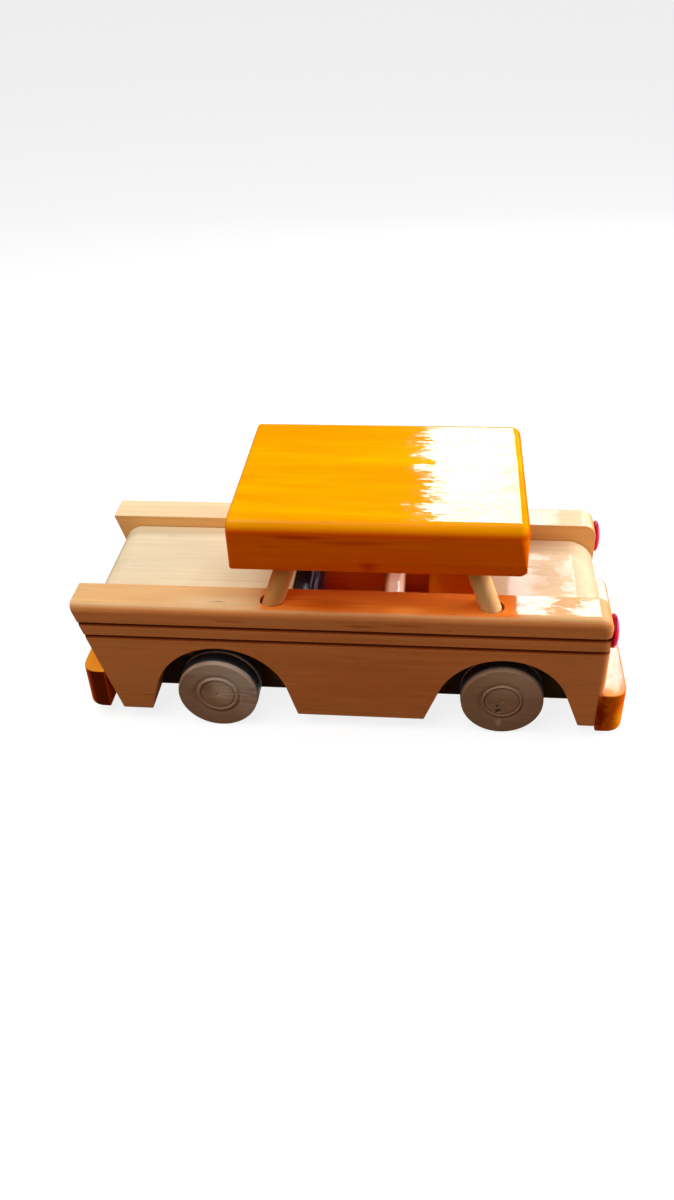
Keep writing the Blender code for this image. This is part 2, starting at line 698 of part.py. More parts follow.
def add_pin(name, joint, out, depth_out, depth_in, outer_part, inner_part):
    """Dowel pin across a glue joint; out points from the inner part to the outer part."""
    joint = Vector(joint)
    out = Vector(out)
    start = joint - out * depth_in
    end = joint + out * depth_out
    add_rod(name, start, end, PIN_RADIUS, DOWEL)
    cutter = bore(f"cut_{name}", start - out * GAP, end + out * GAP, PIN_RADIUS + GAP)
    cut(outer_part, cutter)
    cut(inner_part, cutter)


def make_plate_pins(plates, chassis, bonnet, boot):
    crown_z = SILL_Z + ARCH_RISE
    bonnet_z = (crown_z + FRONT_ARCH_RADIUS + BONNET_TOP_Z) / 2
    boot_z = (crown_z + REAR_ARCH_RADIUS + BOOT_TOP_Z) / 2
    sill_mid_x = (FRONT_ARCH_X + REAR_ARCH_X) / 2
    sill_z = (SILL_Z + CHASSIS_TOP_Z) / 2
    spots = {
        "sill_front": (sill_mid_x - SILL_PIN_SPACING / 2, sill_z, chassis),
        "sill_rear": (sill_mid_x + SILL_PIN_SPACING / 2, sill_z, chassis),
        "bonnet": (FRONT_AXLE_X - BLOCK_PIN_SETBACK, bonnet_z, bonnet),
        "boot": (REAR_AXLE_X + BLOCK_PIN_SETBACK, boot_z, boot),
    }
    for word, side in SIDES.items():
        for spot, (x, z, board) in spots.items():
            joint = (x, side * PLATE_INNER_Y, z)
            add_pin(
                f"pin_{spot}_{word}", joint, (0, side, 0),
                PIN_IN_PLATE, PIN_IN_BOARD, plates[word], board,
            )


def make_bumper_pins(chassis, front_bumper, rear_bumper):
    z = (SILL_Z + CHASSIS_TOP_Z) / 2
    ends = {"front": (CHASSIS_FRONT_X, -1, front_bumper), "rear": (REBATE_X, 1, rear_bumper)}
    for word, side in SIDES.items():
        for row, (x, outward, bumper) in ends.items():
            joint = (x, side * BUMPER_PIN_SPACING / 2, z)
            add_pin(
                f"pin_bumper_{row}_{word}", joint, (outward, 0, 0),
                PIN_IN_BUMPER, PIN_IN_BOARD, bumper, chassis,
            )


def main():
    plates = {word: make_side_plate(word, side) for word, side in SIDES.items()}
    chassis = make_chassis()
    bonnet = make_bonnet()
    boot = make_boot()
    make_cabin()
    roof = make_roof()
    make_pillars(roof, plates)
    front_bumper = make_bumper(
        "front_bumper", FRONT_BUMPER_REAR_X, -1, FRONT_BUMPER_DEPTH, FRONT_BUMPER_BOTTOM_Z
    )
    rear_bumper = make_bumper(
        "rear_bumper", REBATE_X + GAP, 1, REAR_BUMPER_DEPTH, REAR_BUMPER_BOTTOM_Z
    )
    for word, side in SIDES.items():
        make_tail_light(word, side, plates[word])
    for row in AXLE_XS:
        make_axle_set(row)
    make_plate_pins(plates, chassis, bonnet, boot)
    make_bumper_pins(chassis, front_bumper, rear_bumper)


clear_scene()
PARTS = new_collection("wooden_toy_car")
CUTTERS = new_collection("cutters")
main()
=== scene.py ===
"""Looks of a wooden toy car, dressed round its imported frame.

Metres, +Z up. The nose points to -X and the left side faces -Y. Each visible piece is made again
with fine rounds, grooves and bores, stands where its frame node stands and rides on the same body.
"""

import json
import math

import bmesh
import bpy
from mathutils import Matrix, Vector

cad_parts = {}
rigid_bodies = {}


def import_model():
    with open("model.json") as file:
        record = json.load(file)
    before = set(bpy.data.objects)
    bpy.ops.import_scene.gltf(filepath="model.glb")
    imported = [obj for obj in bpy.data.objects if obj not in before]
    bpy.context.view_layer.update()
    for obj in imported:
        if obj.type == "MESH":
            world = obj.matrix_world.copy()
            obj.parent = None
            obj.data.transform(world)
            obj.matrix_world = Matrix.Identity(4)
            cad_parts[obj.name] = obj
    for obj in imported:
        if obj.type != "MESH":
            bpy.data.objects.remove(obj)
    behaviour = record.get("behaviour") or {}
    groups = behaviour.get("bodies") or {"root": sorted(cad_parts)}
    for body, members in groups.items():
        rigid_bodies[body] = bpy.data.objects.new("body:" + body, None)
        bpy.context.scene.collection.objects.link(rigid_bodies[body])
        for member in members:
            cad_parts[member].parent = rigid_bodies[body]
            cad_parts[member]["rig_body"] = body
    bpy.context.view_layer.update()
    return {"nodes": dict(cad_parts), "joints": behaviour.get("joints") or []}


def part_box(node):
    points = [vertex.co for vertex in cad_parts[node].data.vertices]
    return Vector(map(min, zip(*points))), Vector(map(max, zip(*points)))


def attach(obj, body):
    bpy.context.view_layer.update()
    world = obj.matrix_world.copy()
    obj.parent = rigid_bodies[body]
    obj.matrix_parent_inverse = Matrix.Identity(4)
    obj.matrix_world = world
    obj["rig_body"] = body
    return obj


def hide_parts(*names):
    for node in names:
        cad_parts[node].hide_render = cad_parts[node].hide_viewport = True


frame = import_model()
AXLES = {joint["name"].split("_")[0]: Vector(joint["pos_m"]) for joint in frame["joints"]}
SIDES = {"left": -1, "right": 1}
TINY = 1e-6
SAME_PLACE = 1e-5

# Clearances
GLUE_GAP = 0.0003
PILLAR_HOLE_PLAY = 0.0009
PILLAR_HOLE_SHIFT = 0.0007

# Rounds
PLATE_ROUND = 0.0045
TAIL_CORNER_RADIUS = 0.007
BONNET_NOSE_RADIUS = 0.012
BOOT_TAIL_RADIUS = 0.016
ROOF_SIDE_ROUND = 0.006
ROOF_FRONT_ROUND = 0.0018
ROOF_REAR_ROUND = 0.005
ROOF_TAIL_ROUND = 0.004
BUMPER_CORNER_RADIUS = 0.009
BUMPER_EDGE = 0.0009
DASH_ROUND = 0.009
SEAT_BACK_ROUND = 0.003
REAR_SEAT_ROUND = 0.004
EASED_EDGE = 0.0005

# Side plates
NOSE_RAKE = 0.0187
ARCH_RISE = 0.0071
ARCH_RADII = {"front": 0.0366, "rear": 0.0352}
ARCH_FLARES = {"front": math.radians(16.0), "rear": math.radians(21.0)}
ARCH_SETBACKS = {"front": 0.0023, "rear": -0.0002}
GROOVE_DROPS = (0.0118, 0.0198)
GROOVE_RADIUS = 0.0012
GROOVE_PROUD = 0.0001
GROOVE_RUNOUT = 0.004

# Pillars
PILLAR_LEAN = math.radians(19.0)
PILLAR_RADIUS = 0.0052

# Wheels
RIM_WIDTH = 0.0028
RIM_ROUND = 0.0009
OUTER_BAND_WIDTH = 0.0072
RIDGE_WIDTH = 0.001
BACK_FLANGE_WIDTH = 0.0008
TURNED_EDGE = 0.0002
TYRE_PROUD = 0.0003
TYRE_THICKNESS = 0.0015
TYRE_EDGE = 0.0005
HUB_PLATE_RADIUS = 0.009
HUB_PLATE_DEPTH = 0.0005
HUB_PLATE_EDGE = 0.0003
HUB_DIMPLE_RADIUS = 0.0011
HUB_DIMPLE_DEPTH = 0.0006
DIMPLE_SHOULDER_RADIUS = 0.00066
DIMPLE_SHOULDER_DEPTH = 0.0003
BEAD_INNER_RADIUS = 0.0093
BEAD_HALF_WIDTHS = {"front": 0.0011, "rear": 0.0007}
BEAD_VALLEY = 0.001
VALLEY_INNER_FLAT = 0.0002
VALLEY_OUTER_FLAT = 0.0003
DISH_DEPTH = 0.0003
COVE_START = 0.0004
COVE_WIDTH = 0.003
HUB_BOSS_RADIUS = 0.008
HUB_BOSS_HEIGHTS = {"front": 0.0054, "rear": 0.0022}
AXLE_SOCKET_DEPTH = 0.0095

# Nail holes in the rear left wheel: x and z from its axis, and radius
NAIL_HOLES = ((-0.0015, -0.0066, 0.0015), (-0.0021, -0.0032, 0.0008))
NAIL_HOLE_DEPTH = 0.0022

# Tail lights
LENS_RIM = 0.001
LENS_STEM_RADIUS = 0.003
LENS_STEM_LENGTH = 0.009

# Smoothness of round shapes
LATHE_STEPS = 96
DOWEL_STEPS = 48
ARCH_STEPS = 56
ROUND_STEPS = 8
FEW_STEPS = 4
EASE_STEPS = 2
BUMPER_EDGE_STEPS = 3
BEAD_STEPS = 8
DOME_STEPS = 16
GROOVE_SIDES = 16
SHARP_ANGLE = math.radians(32)

# Camera, measured from the plates' foremost point, on the middle line and at sill height
CAMERA_FROM_NOSE = Vector((0.18807, -0.44998, 0.37256))
CAMERA_YAW = -0.1223
CAMERA_PITCH = 0.6361
CAMERA_ROLL = -0.0427
CAMERA_CLIP = 0.01
PHOTO_HEIGHT_PX = 1200
FOCAL_PX = 1004.6
SENSOR_MM = 36.0

# Lamps
SKYLIGHT = (0.91, 0.91, 1.0)
DAYLIGHT = (1.0, 0.98, 0.96)
WINDOW_Y = 0.92
WINDOW_COLUMNS = ((0.028, 0.149), (0.153, 0.215), (0.268, 0.375))
WINDOW_ROWS = ((0.53, 0.581), (0.585, 0.88))
WINDOW_RADIANCE = 29.4
TAIL_WINDOW = {
    "place": (0.93, 0.17, 0.38), "target": (0.1, 0.0, 0.08),
    "width": 0.66, "height": 0.58, "radiance": 10.3, "colour": SKYLIGHT,
}
OVERHEAD_BOX = {
    "place": (-0.45, -0.31, 1.1), "target": (-0.05, 0.0, 0.06),
    "width": 1.2, "height": 0.9, "radiance": 3.5, "colour": DAYLIGHT,
}

# Stage
WHITE = (1.0, 1.0, 1.0)
ROOM_COLOUR = (1.0, 0.84, 0.7)
ROOM_STRENGTH = 0.06
FLOOR_HALF_SIZE = 6.0
FLOOR_BOUNCE = (0.22, 0.135, 0.075)
FLOOR_PAPER = (0.24, 0.24, 0.24)
FLOOR_GLOW = 0.84
WALL_COLOUR = (0.05, 0.04, 0.03)
WALL_LOW = Vector((-1.6, 0.94, 0.3))
WALL_HIGH = Vector((1.6, 0.96, 2.0))

# Colours of pieces
# The chassis's sides and ends are near black on an orange board: painted shade for the shadow inside the
# wheel arches.
CHASSIS_SHADED_SIDE = (0.09, 0.055, 0.03)
WHEEL_COLOUR = (0.35, 0.195, 0.118)
RIDGE_COLOUR = (0.92, 0.82, 0.72)
DOWEL_COLOUR = (0.88, 0.41, 0.12)
# The rear pillars are paler than the front ones: painted light for the light that falls on them from the
# tail.
PILLAR_COLOURS = {"front": DOWEL_COLOUR, "rear": (0.97, 0.6, 0.24)}
BUMPER_TOPS = {"front": (0.99, 0.36, 0.03), "rear": (0.99, 0.27, 0.07)}
# End colours, darker than the tops as end grain soaks up more of the orange; the front end is darker
# still, which is painted shade.
BUMPER_ENDS = {"front": (0.16, 0.014, 0.002), "rear": (0.66, 0.1, 0.002)}
BONNET_COLOUR = (0.88, 0.74, 0.49)
BOOT_COLOUR = (0.88, 0.67, 0.4)
SEAT_BACK_COLOUR = (0.92, 0.62, 0.42)
PLATE_TOPS = {"left": (0.86, 0.5, 0.215), "right": (0.95, 0.72, 0.42)}
# The plates' outer faces are darker and redder than their tops and inner faces: painted shade.
PLATE_OUTER_FACE = (0.71, 0.25, 0.072)
PLATE_INNER_FACE = (0.97, 0.55, 0.2)
# Cabin orange on the plates between the pillars: partly real staining, partly painted orange bounce light
# from the roof.
SADDLE_STAIN_AND_BOUNCE = (0.97, 0.25, 0.03)

# Varnish: its weight on upward faces, and the share of it that side faces get
BUMPER_GLOSS = {"front": 0.08, "rear": 0.5}
BOOT_GLOSS = 0.2
CHASSIS_GLOSS = 0.05
PLATE_GLOSS = {"left": 0.5, "right": 0.25}
SIDE_GLOSS = 0.03
VARNISH_IOR = 1.45
BUMPER_RIPPLE = 0.01

# Cabin orange on the plates, partly real staining and partly painted bounce light: its run past the rear
# pillar, and its fading ends
SADDLE_OVERRUN = 0.01
SADDLE_FADES = (0.006, 0.01)

# Knots, streaks and smears in the wood, and patches of painted light and shade: centre, reach and tint,
# with a wheel's centre measured from its face
KNOT = (0.45, 0.3, 0.2)
DARK_STREAK = (0.72, 0.62, 0.54)
REDDER = (0.97, 0.82, 0.74)
PLATE_MARKS_AND_SHADING = {
    "left": (
        ((0.008, -0.054, 0.07), (0.012, 0.004, 0.0012), DARK_STREAK),
        ((0.03, -0.054, 0.0712), (0.016, 0.004, 0.001), DARK_STREAK),
        ((-0.06, -0.054, 0.0705), (0.012, 0.004, 0.0009), DARK_STREAK),
        ((-0.108, -0.054, 0.0185), (0.009, 0.004, 0.0007), DARK_STREAK),
        ((-0.066, -0.0465, 0.0775), (0.005, 0.0008, 0.003), DARK_STREAK),
        ((0.01, -0.054, 0.035), (0.11, 0.03, 0.05), REDDER),
        ((0.117, -0.054, 0.04), (0.006, 0.004, 0.0006), DARK_STREAK),
        # Painted light and shade on the plate's top: paler ahead of the front pillar, then darker and
        # paler again along the cabin.
        ((-0.068, -0.047, 0.078), (0.036, 0.0065, 0.006), (1.08, 1.32, 1.65)),
        ((-0.01, -0.046, 0.078), (0.024, 0.008, 0.006), (0.78, 0.6, 0.3)),
        ((0.03, -0.049, 0.078), (0.014, 0.005, 0.006), (1.2, 1.5, 2.0)),
    ),
    "right": (
        ((-0.0755, 0.0525, 0.0772), (0.0014, 0.0022, 0.003), KNOT),
    ),
}
ROOF_MARKS = (
    ((0.012, -0.054, 0.106), (0.006, 0.004, 0.005), (0.75, 0.45, 0.4)),
    ((-0.022, -0.0535, 0.1222), (0.026, 0.006, 0.0016), (0.7, 0.4, 0.4)),
    ((0.004, -0.0535, 0.12), (0.03, 0.006, 0.0024), (0.82, 0.55, 0.5)),
)
WHEEL_MARKS_AND_SHADING = {
    "front": (
        # Painted light: the front faces lighter towards the top and at the lower right rim.
        ((0.008, 0, 0.014), (0.03, 0.02, 0.024), (1.6, 2.2, 2.8)),
        ((0.02, 0, -0.01), (0.017, 0.02, 0.017), (1.4, 1.7, 2.1)),
        ((0.003, 0, -0.001), (0.009, 0.02, 0.009), (1.45, 1.6, 1.7)),
        # Painted shade beside the bead.
        ((-0.006, 0, 0.005), (0.006, 0.02, 0.006), (0.75, 0.65, 0.45)),
    ),
    "rear": (
        # Painted light: the rear faces lighter towards the top.
        ((0.005, 0, 0.017), (0.028, 0.02, 0.018), (1.4, 1.7, 1.9)),
        ((-0.001, 0, -0.015), (0.0022, 0.02, 0.0042), (1.6, 1.7, 1.8)),
    ),
}
BUMPER_SHADE_AND_HIGHLIGHT = {
    "front": (),
    "rear": (
        # Painted shade on the near end beside the plate, and a painted highlight on its rounded corner.
        ((0.1315, -0.054, 0.016), (0.0055, 0.012, 0.022), (0.4, 0.15, 0.4)),
        ((0.142, -0.051, 0.013), (0.005, 0.008, 0.012), (1.5, 2.6, 4.0)),
    ),
}

# Shifts that set the heart line of each piece's growth rings
PLATE_HEARTS = {"left": (-0.1, -0.02, 0.05), "right": (0.1, 0.02, -0.11)}
BONNET_HEART = (0.0, 0.11, -0.13)
BOOT_HEART = (0.3, -0.02, -0.15)
CHASSIS_HEART = (0.2, 0.07, -0.06)
SEAT_BACK_HEART = (0.1, 0.03, -0.02)
REAR_SEAT_HEART = (0.4, 0.02, -0.1)
ROOF_HEART = (0.0, 0.03, -0.24)
BUMPER_HEARTS = {"front": (-0.12, 0.03, -0.03), "rear": (0.12, 0.03, -0.03)}
PILLAR_HEARTS = {"left": (0.0, 0.01, 0.0), "right": (0.02, 0.01, 0.3)}
WHEEL_HEART = Vector((0.07, 0.04, 0.02))
AXLE_HEART = (0.01, 0.02)
PIN_HEART = (0.2, 0.1, 0.05)

# Wood figure: stretch along and across the grain, detail and roughness of each noise
GRAIN_TURNS = {"X": (0, 0, 0), "Y": (0, 0, math.pi / 2), "Z": (0, math.pi / 2, 0)}
FIBRE = ((14, 420, 420), 3.0, 0.6)
FLECK = ((70, 900, 900), 1.0)
BAND = ((5, 70, 70), 3.0, 0.55)
CLOUD = ((16, 40, 40), 2.0)
BRUSH = ((45, 120, 120), 3.0, 0.55)
WEAR = ((200, 900, 900), 3.0, 0.6)
STROKE = ((6, 75, 75), 4.0, 0.7)
NOISE_MIDDLE = 0.5
SPECK = (900.0, 1.0)
SPECK_SHARE = 0.05
PATCH_SCALE = 45
RING_STRETCH = (0.22, 1, 1)
RING_WAVE = {"Distortion": 6.0, "Detail": 2.0, "Detail Scale": 0.3}
WAVE_UNIT = math.pi / 10

# Wood figure: the range of each noise or facing that counts, and what it becomes.
# A relief is a strength and a depth.
PATCH_SPAN = (0.38, 0.68, 0.1, 1)
LINE_SPAN = (0.2, 0.98)
FLECK_SPAN = (0.7, 0.78)
BAND_SPAN = (0.4, 0.7)
END_SPAN = (0.6, 0.95)
INNER_SPAN = (0.3, 0.8)
SADDLE_SPAN = (0.7, 0.97)
VARNISH_SPAN = (0.75, 0.97)
WEAR_SPAN = (0.3, 0.55, 0.5, 1.0)
MARK_FRAY = (0.2, 0.8, -0.3, 0.3)
MARK_SPAN = (1.0, 0.1)
FIBRE_SHADE = (0.25, 0.75, 0.93, 1.03)
FLECK_SHADE = (0, 1, 1.0, 0.8)
CLOUD_SHADE = (0.3, 0.7, 0.95, 1.03)
FIBRE_SPAN = (0.2, 0.8)
ROUGHNESS_SWING = (-0.06, 0.08)
FIBRE_RELIEF = 0.6
LINE_RELIEF = -0.5
RELIEF = (0.25, 0.0002)
FILM_DEPTH = 0.004

# Black lacquer, with a painted blue-grey reflection
LACQUER_BLACK = (0.006, 0.006, 0.008)
LACQUER_GREY = (0.014, 0.015, 0.018)
LACQUER_REFLECTION_BLUE = (0.2, 0.25, 0.38)
LACQUER_BRUSH = ((700, 24, 260), 3.0, 0.6)
LACQUER_GRIME = (90.0, 3.0)
LACQUER_GRIME_SPAN = (0.4, 0.75)
LACQUER_REFLECTION_SPAN = (0.48, 0.6)
LACQUER_REAR_SPAN = (0.25, 0.6)
LACQUER_ROUGHNESS = (0.3, 0.7, 0.22, 0.36)
LACQUER_RELIEF = (0.2, 0.0006)

# Tyre rubber
RUBBER_BLACK = (0.01, 0.01, 0.012)
RUBBER_GREY = (0.03, 0.028, 0.027)
RUBBER_GRAIN = (1400.0, 2.0)
RUBBER_DUST = (160.0, 4.0, 0.65)
RUBBER_DUST_SPAN = (0.5, 0.8)
RUBBER_ROUGHNESS = (0.35, 0.75, 0.42, 0.62)
RUBBER_RELIEF = (0.2, 0.0002)

# Red lenses; their shade colour is a painted dark reflection on the upper half
LENS_REDS = ((0.76, 0.001, 0.055), (0.9, 0.004, 0.1))
LENS_SHADE = (0.26, 0.001, 0.05)
LENS_CLOUD = (220.0, 3.0)
LENS_CLOUD_SPAN = (0.3, 0.7)
LENS_TOP_SPAN = (0.35, 0.8)
LENS_ROUGHNESS = (0.3, 0.7, 0.12, 0.2)
LENS_RELIEF = (0.08, 0.0006)


# Meshes


def arc(centre, radius, start, end, steps):
    """Points on a circle from one angle to another, ends included."""
    angles = [start + (end - start) * i / steps for i in range(steps + 1)]
    return [(centre[0] + radius * math.cos(a), centre[1] + radius * math.sin(a)) for a in angles]


def circle(radius, steps):
    """Points round a whole circle, the first one not repeated."""
    return arc((0, 0), radius, 0, 2 * math.pi * (steps - 1) / steps, steps - 1)


def prism(outline, low, high, place):
    """Closed board: an outline carried from low to high, with place(u, v, w) giving each point."""
    shape = bmesh.new()
    ends = [[shape.verts.new(place(u, v, w)) for u, v in outline] for w in (low, high)]
    for ring in ends:
        shape.faces.new(ring)
    count = len(outline)
    for i in range(count):
        j = (i + 1) % count
        shape.faces.new((ends[0][i], ends[0][j], ends[1][j], ends[1][i]))
    bmesh.ops.recalc_face_normals(shape, faces=shape.faces)
    return shape


def across(u, v, w):
    """An outline drawn in x and z, carried across the car."""
    return (u, w, v)


def upward(u, v, w):
    """An outline drawn in x and y, carried up."""
    return (u, v, w)


def board(low, high):
    """Plain board that fills a box."""
    outline = [(low.x, low.z), (high.x, low.z), (high.x, high.z), (low.x, high.z)]
    return prism(outline, low.y, high.y, across)


def join_rings(shape, rings, closed):
    """Skin between rings of points; a ring of one point is a pole."""
    pairs = list(zip(rings, rings[1:]))
    if closed:
        pairs.append((rings[-1], rings[0]))
    for one, two in pairs:
        count = max(len(one), len(two))
        for i in range(count):
            j = (i + 1) % count
            corners = [one[i % len(one)], one[j % len(one)], two[j % len(two)], two[i % len(two)]]
            unique = list(dict.fromkeys(corners))
            if len(unique) > 2:
                shape.faces.new(unique)


def lathe(profile, turn, steps=LATHE_STEPS, closed=False, shape=None):
    """Turned shape about Z from (radius, height) points; turn places it."""
    shape = shape or bmesh.new()
    rings = []
    for radius, height in profile:
        if radius < TINY:
            rings.append([shape.verts.new(turn @ Vector((0, 0, height)))])
            continue
        spots = circle(radius, steps)
        rings.append([shape.verts.new(turn @ Vector((x, y, height))) for x, y in spots])
    join_rings(shape, rings, closed)
    bmesh.ops.recalc_face_normals(shape, faces=shape.faces)
    return shape


def along_line(start, end):
    """Placement of a lathe whose axis runs from start to end."""
    turn = Vector((0, 0, 1)).rotation_difference(end - start).to_matrix().to_4x4()
    return Matrix.Translation(start) @ turn


def rod(start, end, radius, shape=None, ease=0.0):
    """Closed round bar, with eased ends where asked."""
    length = (end - start).length
    profile = [(0, length), (radius - ease, length), (radius, length - ease)]
    profile += [(radius, ease), (radius - ease, 0), (0, 0)]
    if ease < TINY:
        profile = [(0, length), (radius, length), (radius, 0), (0, 0)]
    return lathe(profile, along_line(start, end), DOWEL_STEPS, shape=shape)


def block(shape, low, high):
    """Add a plain box to a shape."""
    size = Matrix.Diagonal((*(high - low), 1.0))
    bmesh.ops.create_cube(shape, size=1.0, matrix=Matrix.Translation((low + high) / 2) @ size)


def bevel(shape, edges, radius, steps):
    bmesh.ops.bevel(
        shape, geom=edges, offset=radius, offset_type="OFFSET", segments=steps,
        profile=0.5, affect="EDGES", clamp_overlap=False,
    )


def round_where(shape, test, radius, steps=ROUND_STEPS):
    """Round the edges whose two end points pass the test."""
    bevel(shape, [e for e in shape.edges if test(e.verts[0].co, e.verts[1].co)], radius, steps)


def ease_sharp(shape, radius=EASED_EDGE, steps=EASE_STEPS):
    """Take the bite off every edge that is still sharp."""
    sharp = [e for e in shape.edges if e.is_manifold and e.calc_face_angle() > SHARP_ANGLE]
    bevel(shape, sharp, radius, steps)


def near(value, target):
    return abs(value - target) < SAME_PLACE


def edge_at(a, b, axis, value):
    """Whether an edge's two ends lie at one x, y or z."""
    return near(getattr(a, axis), value) and near(getattr(b, axis), value)


def to_mesh(shape, name):
    mesh = bpy.data.meshes.new(name)
    shape.to_mesh(mesh)
    shape.free()
    return mesh


def add_object(name, data):
    made = bpy.data.objects.new(name, data)
    bpy.context.scene.collection.objects.link(made)
    return made


def carve(shape, cutter):
    """The shape with a cutter's volume taken away."""
    parts = {"carved": shape, "cutter": cutter}
    pair = [add_object(word, to_mesh(part, word)) for word, part in parts.items()]
    boolean = pair[0].modifiers.new("carve", "BOOLEAN")
    boolean.operation = "DIFFERENCE"
    boolean.solver = "EXACT"
    boolean.object = pair[1]
    graph = bpy.context.evaluated_depsgraph_get()
    mesh = bpy.data.meshes.new_from_object(pair[0].evaluated_get(graph))
    result = bmesh.new()
    result.from_mesh(mesh)
    bpy.data.meshes.remove(mesh)
    for item in pair:
        used = item.data
        bpy.data.objects.remove(item)
        bpy.data.meshes.remove(used)
    return result


def piece(name, shape, node, finish, weighted=True):
    """A finished piece in its frame node's place, on its node's body."""
    mesh = to_mesh(shape, name)
    mesh.shade_smooth()
    mesh.set_sharp_from_angle(angle=SHARP_ANGLE)
    for item in finish if isinstance(finish, list) else [finish]:
        mesh.materials.append(item)
    made = add_object(name, mesh)
    if weighted:
        normals = made.modifiers.new("even_normals", "WEIGHTED_NORMAL")
        normals.keep_sharp = True
    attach(made, frame["nodes"][node]["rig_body"])
    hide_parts(node)


# Bores for pins, pillars and axles


def node_axis(node):
    """Ends and radius of a dowel node that lies along X or Y."""
    low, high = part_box(node)
    size = high - low
    long_axis = max(range(3), key=lambda i: size[i])
    radius = max(size[i] for i in range(3) if i != long_axis) / 2
    start = (low + high) / 2
    end = start.copy()
    start[long_axis] = low[long_axis]
    end[long_axis] = high[long_axis]
    return start, end, radius


def bore_for(node, cutter):
    """Add the hole that a dowel node lies in."""
    start, end, radius = node_axis(node)
    gap = (end - start).normalized() * GLUE_GAP
    rod(start - gap, end + gap, radius + GLUE_GAP, cutter)


def bored(shape, nodes):
    """The shape with holes for dowel nodes."""
    cutter = bmesh.new()
    for node in nodes:
        bore_for(node, cutter)
    return carve(shape, cutter)


def pillar_axis(row, word):
    """Foot and head of a leaning pillar, worked out from its node's box."""
    low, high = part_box(f"pillar_{row}_{word}")
    middle = (low + high) / 2
    lean = 1 if row == "front" else -1
    along = Vector((lean * math.sin(PILLAR_LEAN), 0, math.cos(PILLAR_LEAN)))
    length = (high.z - low.z - 2 * PILLAR_RADIUS * math.sin(PILLAR_LEAN)) / math.cos(PILLAR_LEAN)
    return middle - along * length / 2, middle + along * length / 2


# Materials


def add_node(tree, kind, links=None, values=None, **settings):
    """A shader node with its settings, fixed inputs and linked inputs."""
    made = tree.nodes.new(kind)
    for key, value in settings.items():
        setattr(made, key, value)
    for key, value in (values or {}).items():
        made.inputs[key].default_value = value
    for key, source in (links or {}).items():
        tree.links.new(source, made.inputs[key])
    return made


class Nodes:
    """Short way to write a material's node tree."""

    def __init__(self, name):
        self.material = bpy.data.materials.new(name)
        self.material.use_nodes = True
        self.tree = self.material.node_tree
        self.shader = self.tree.nodes["Principled BSDF"]
        coords = self.add("ShaderNodeTexCoord").outputs
        self.place = coords["Object"]
        self.facing = self.apart(coords["Normal"])

    def add(self, kind, *inputs, **settings):
        return add_node(self.tree, kind, *inputs, **settings)

    def apart(self, vector):
        """The X, Y and Z of a vector."""
        return self.add("ShaderNodeSeparateXYZ", {"Vector": vector}).outputs

    def stretched(self, source, scale, location=(0, 0, 0), rotation=(0, 0, 0)):
        values = {"Scale": scale, "Location": location, "Rotation": rotation}
        return self.add("ShaderNodeMapping", {"Vector": source}, values).outputs["Vector"]

    def noise(self, vector, scale, detail=2.0, roughness=0.5):
        values = {"Scale": scale, "Detail": detail, "Roughness": roughness}
        return self.add("ShaderNodeTexNoise", {"Vector": vector}, values).outputs["Fac"]

    def figure(self, vector, stretch, detail=2.0, roughness=0.5):
        """Noise drawn out along the grain."""
        return self.noise(self.stretched(vector, stretch), 1.0, detail, roughness)

    def span(self, source, low, high, to_low=0.0, to_high=1.0):
        """Smooth step from one range to another."""
        values = {"From Min": low, "From Max": high, "To Min": to_low, "To Max": to_high}
        made = self.add("ShaderNodeMapRange", {"Value": source}, values, interpolation_type="SMOOTHSTEP")
        return made.outputs["Result"]

    def math(self, operation, one, two=0):
        links = {}
        values = {}
        for i, item in enumerate((one, two)):
            (values if isinstance(item, (int, float)) else links)[i] = item
        return self.add("ShaderNodeMath", links, values, operation=operation).outputs[0]

    def mix(self, factor, one, two, blend="MIX"):
        """Colour one turning into colour two."""
        made = self.add("ShaderNodeMix", data_type="RGBA", blend_type=blend)
        sockets = {socket.identifier: socket for socket in (*made.inputs, *made.outputs)}
        for key, item in (("Factor_Float", factor), ("A_Color", one), ("B_Color", two)):
            if isinstance(item, bpy.types.NodeSocket):
                self.tree.links.new(item, sockets[key])
            else:
                sockets[key].default_value = item if key == "Factor_Float" else (*item, 1.0)
        return sockets["Result_Color"]

    def tinted(self, colour, tint):
        return self.mix(1.0, colour, tint, "MULTIPLY")

    def bump(self, height, strength, depth):
        values = {"Strength": strength, "Distance": depth}
        return self.add("ShaderNodeBump", {"Height": height}, values).outputs["Normal"]

    def set(self, **values):
        for key, value in values.items():
            self.shader.inputs[key.replace("_", " ")].default_value = value

    def link(self, source, socket):
        self.tree.links.new(source, self.shader.inputs[socket])


def combed(n, normal, turned, along, worn, amount, lean):
    """A normal that rocks along the grain, about a slight lean, from one brush sweep to the next."""
    stroke_and_sheen = n.math("SUBTRACT", n.figure(turned, *STROKE), NOISE_MIDDLE)
    swing = n.math("ADD", stroke_and_sheen, n.math("SUBTRACT", worn, NOISE_MIDDLE))
    rock = n.math("ADD", n.math("MULTIPLY", swing, amount), lean)
    tilt = n.add("ShaderNodeCombineXYZ", {along: rock}).outputs[0]
    tilt = n.add(
        "ShaderNodeVectorTransform", {"Vector": tilt},
        vector_type="VECTOR", convert_from="OBJECT", convert_to="WORLD",
    ).outputs[0]
    rocked = n.add("ShaderNodeVectorMath", {0: normal, 1: tilt}, operation="ADD").outputs[0]
    return n.add("ShaderNodeVectorMath", {0: rocked}, operation="NORMALIZE").outputs[0]


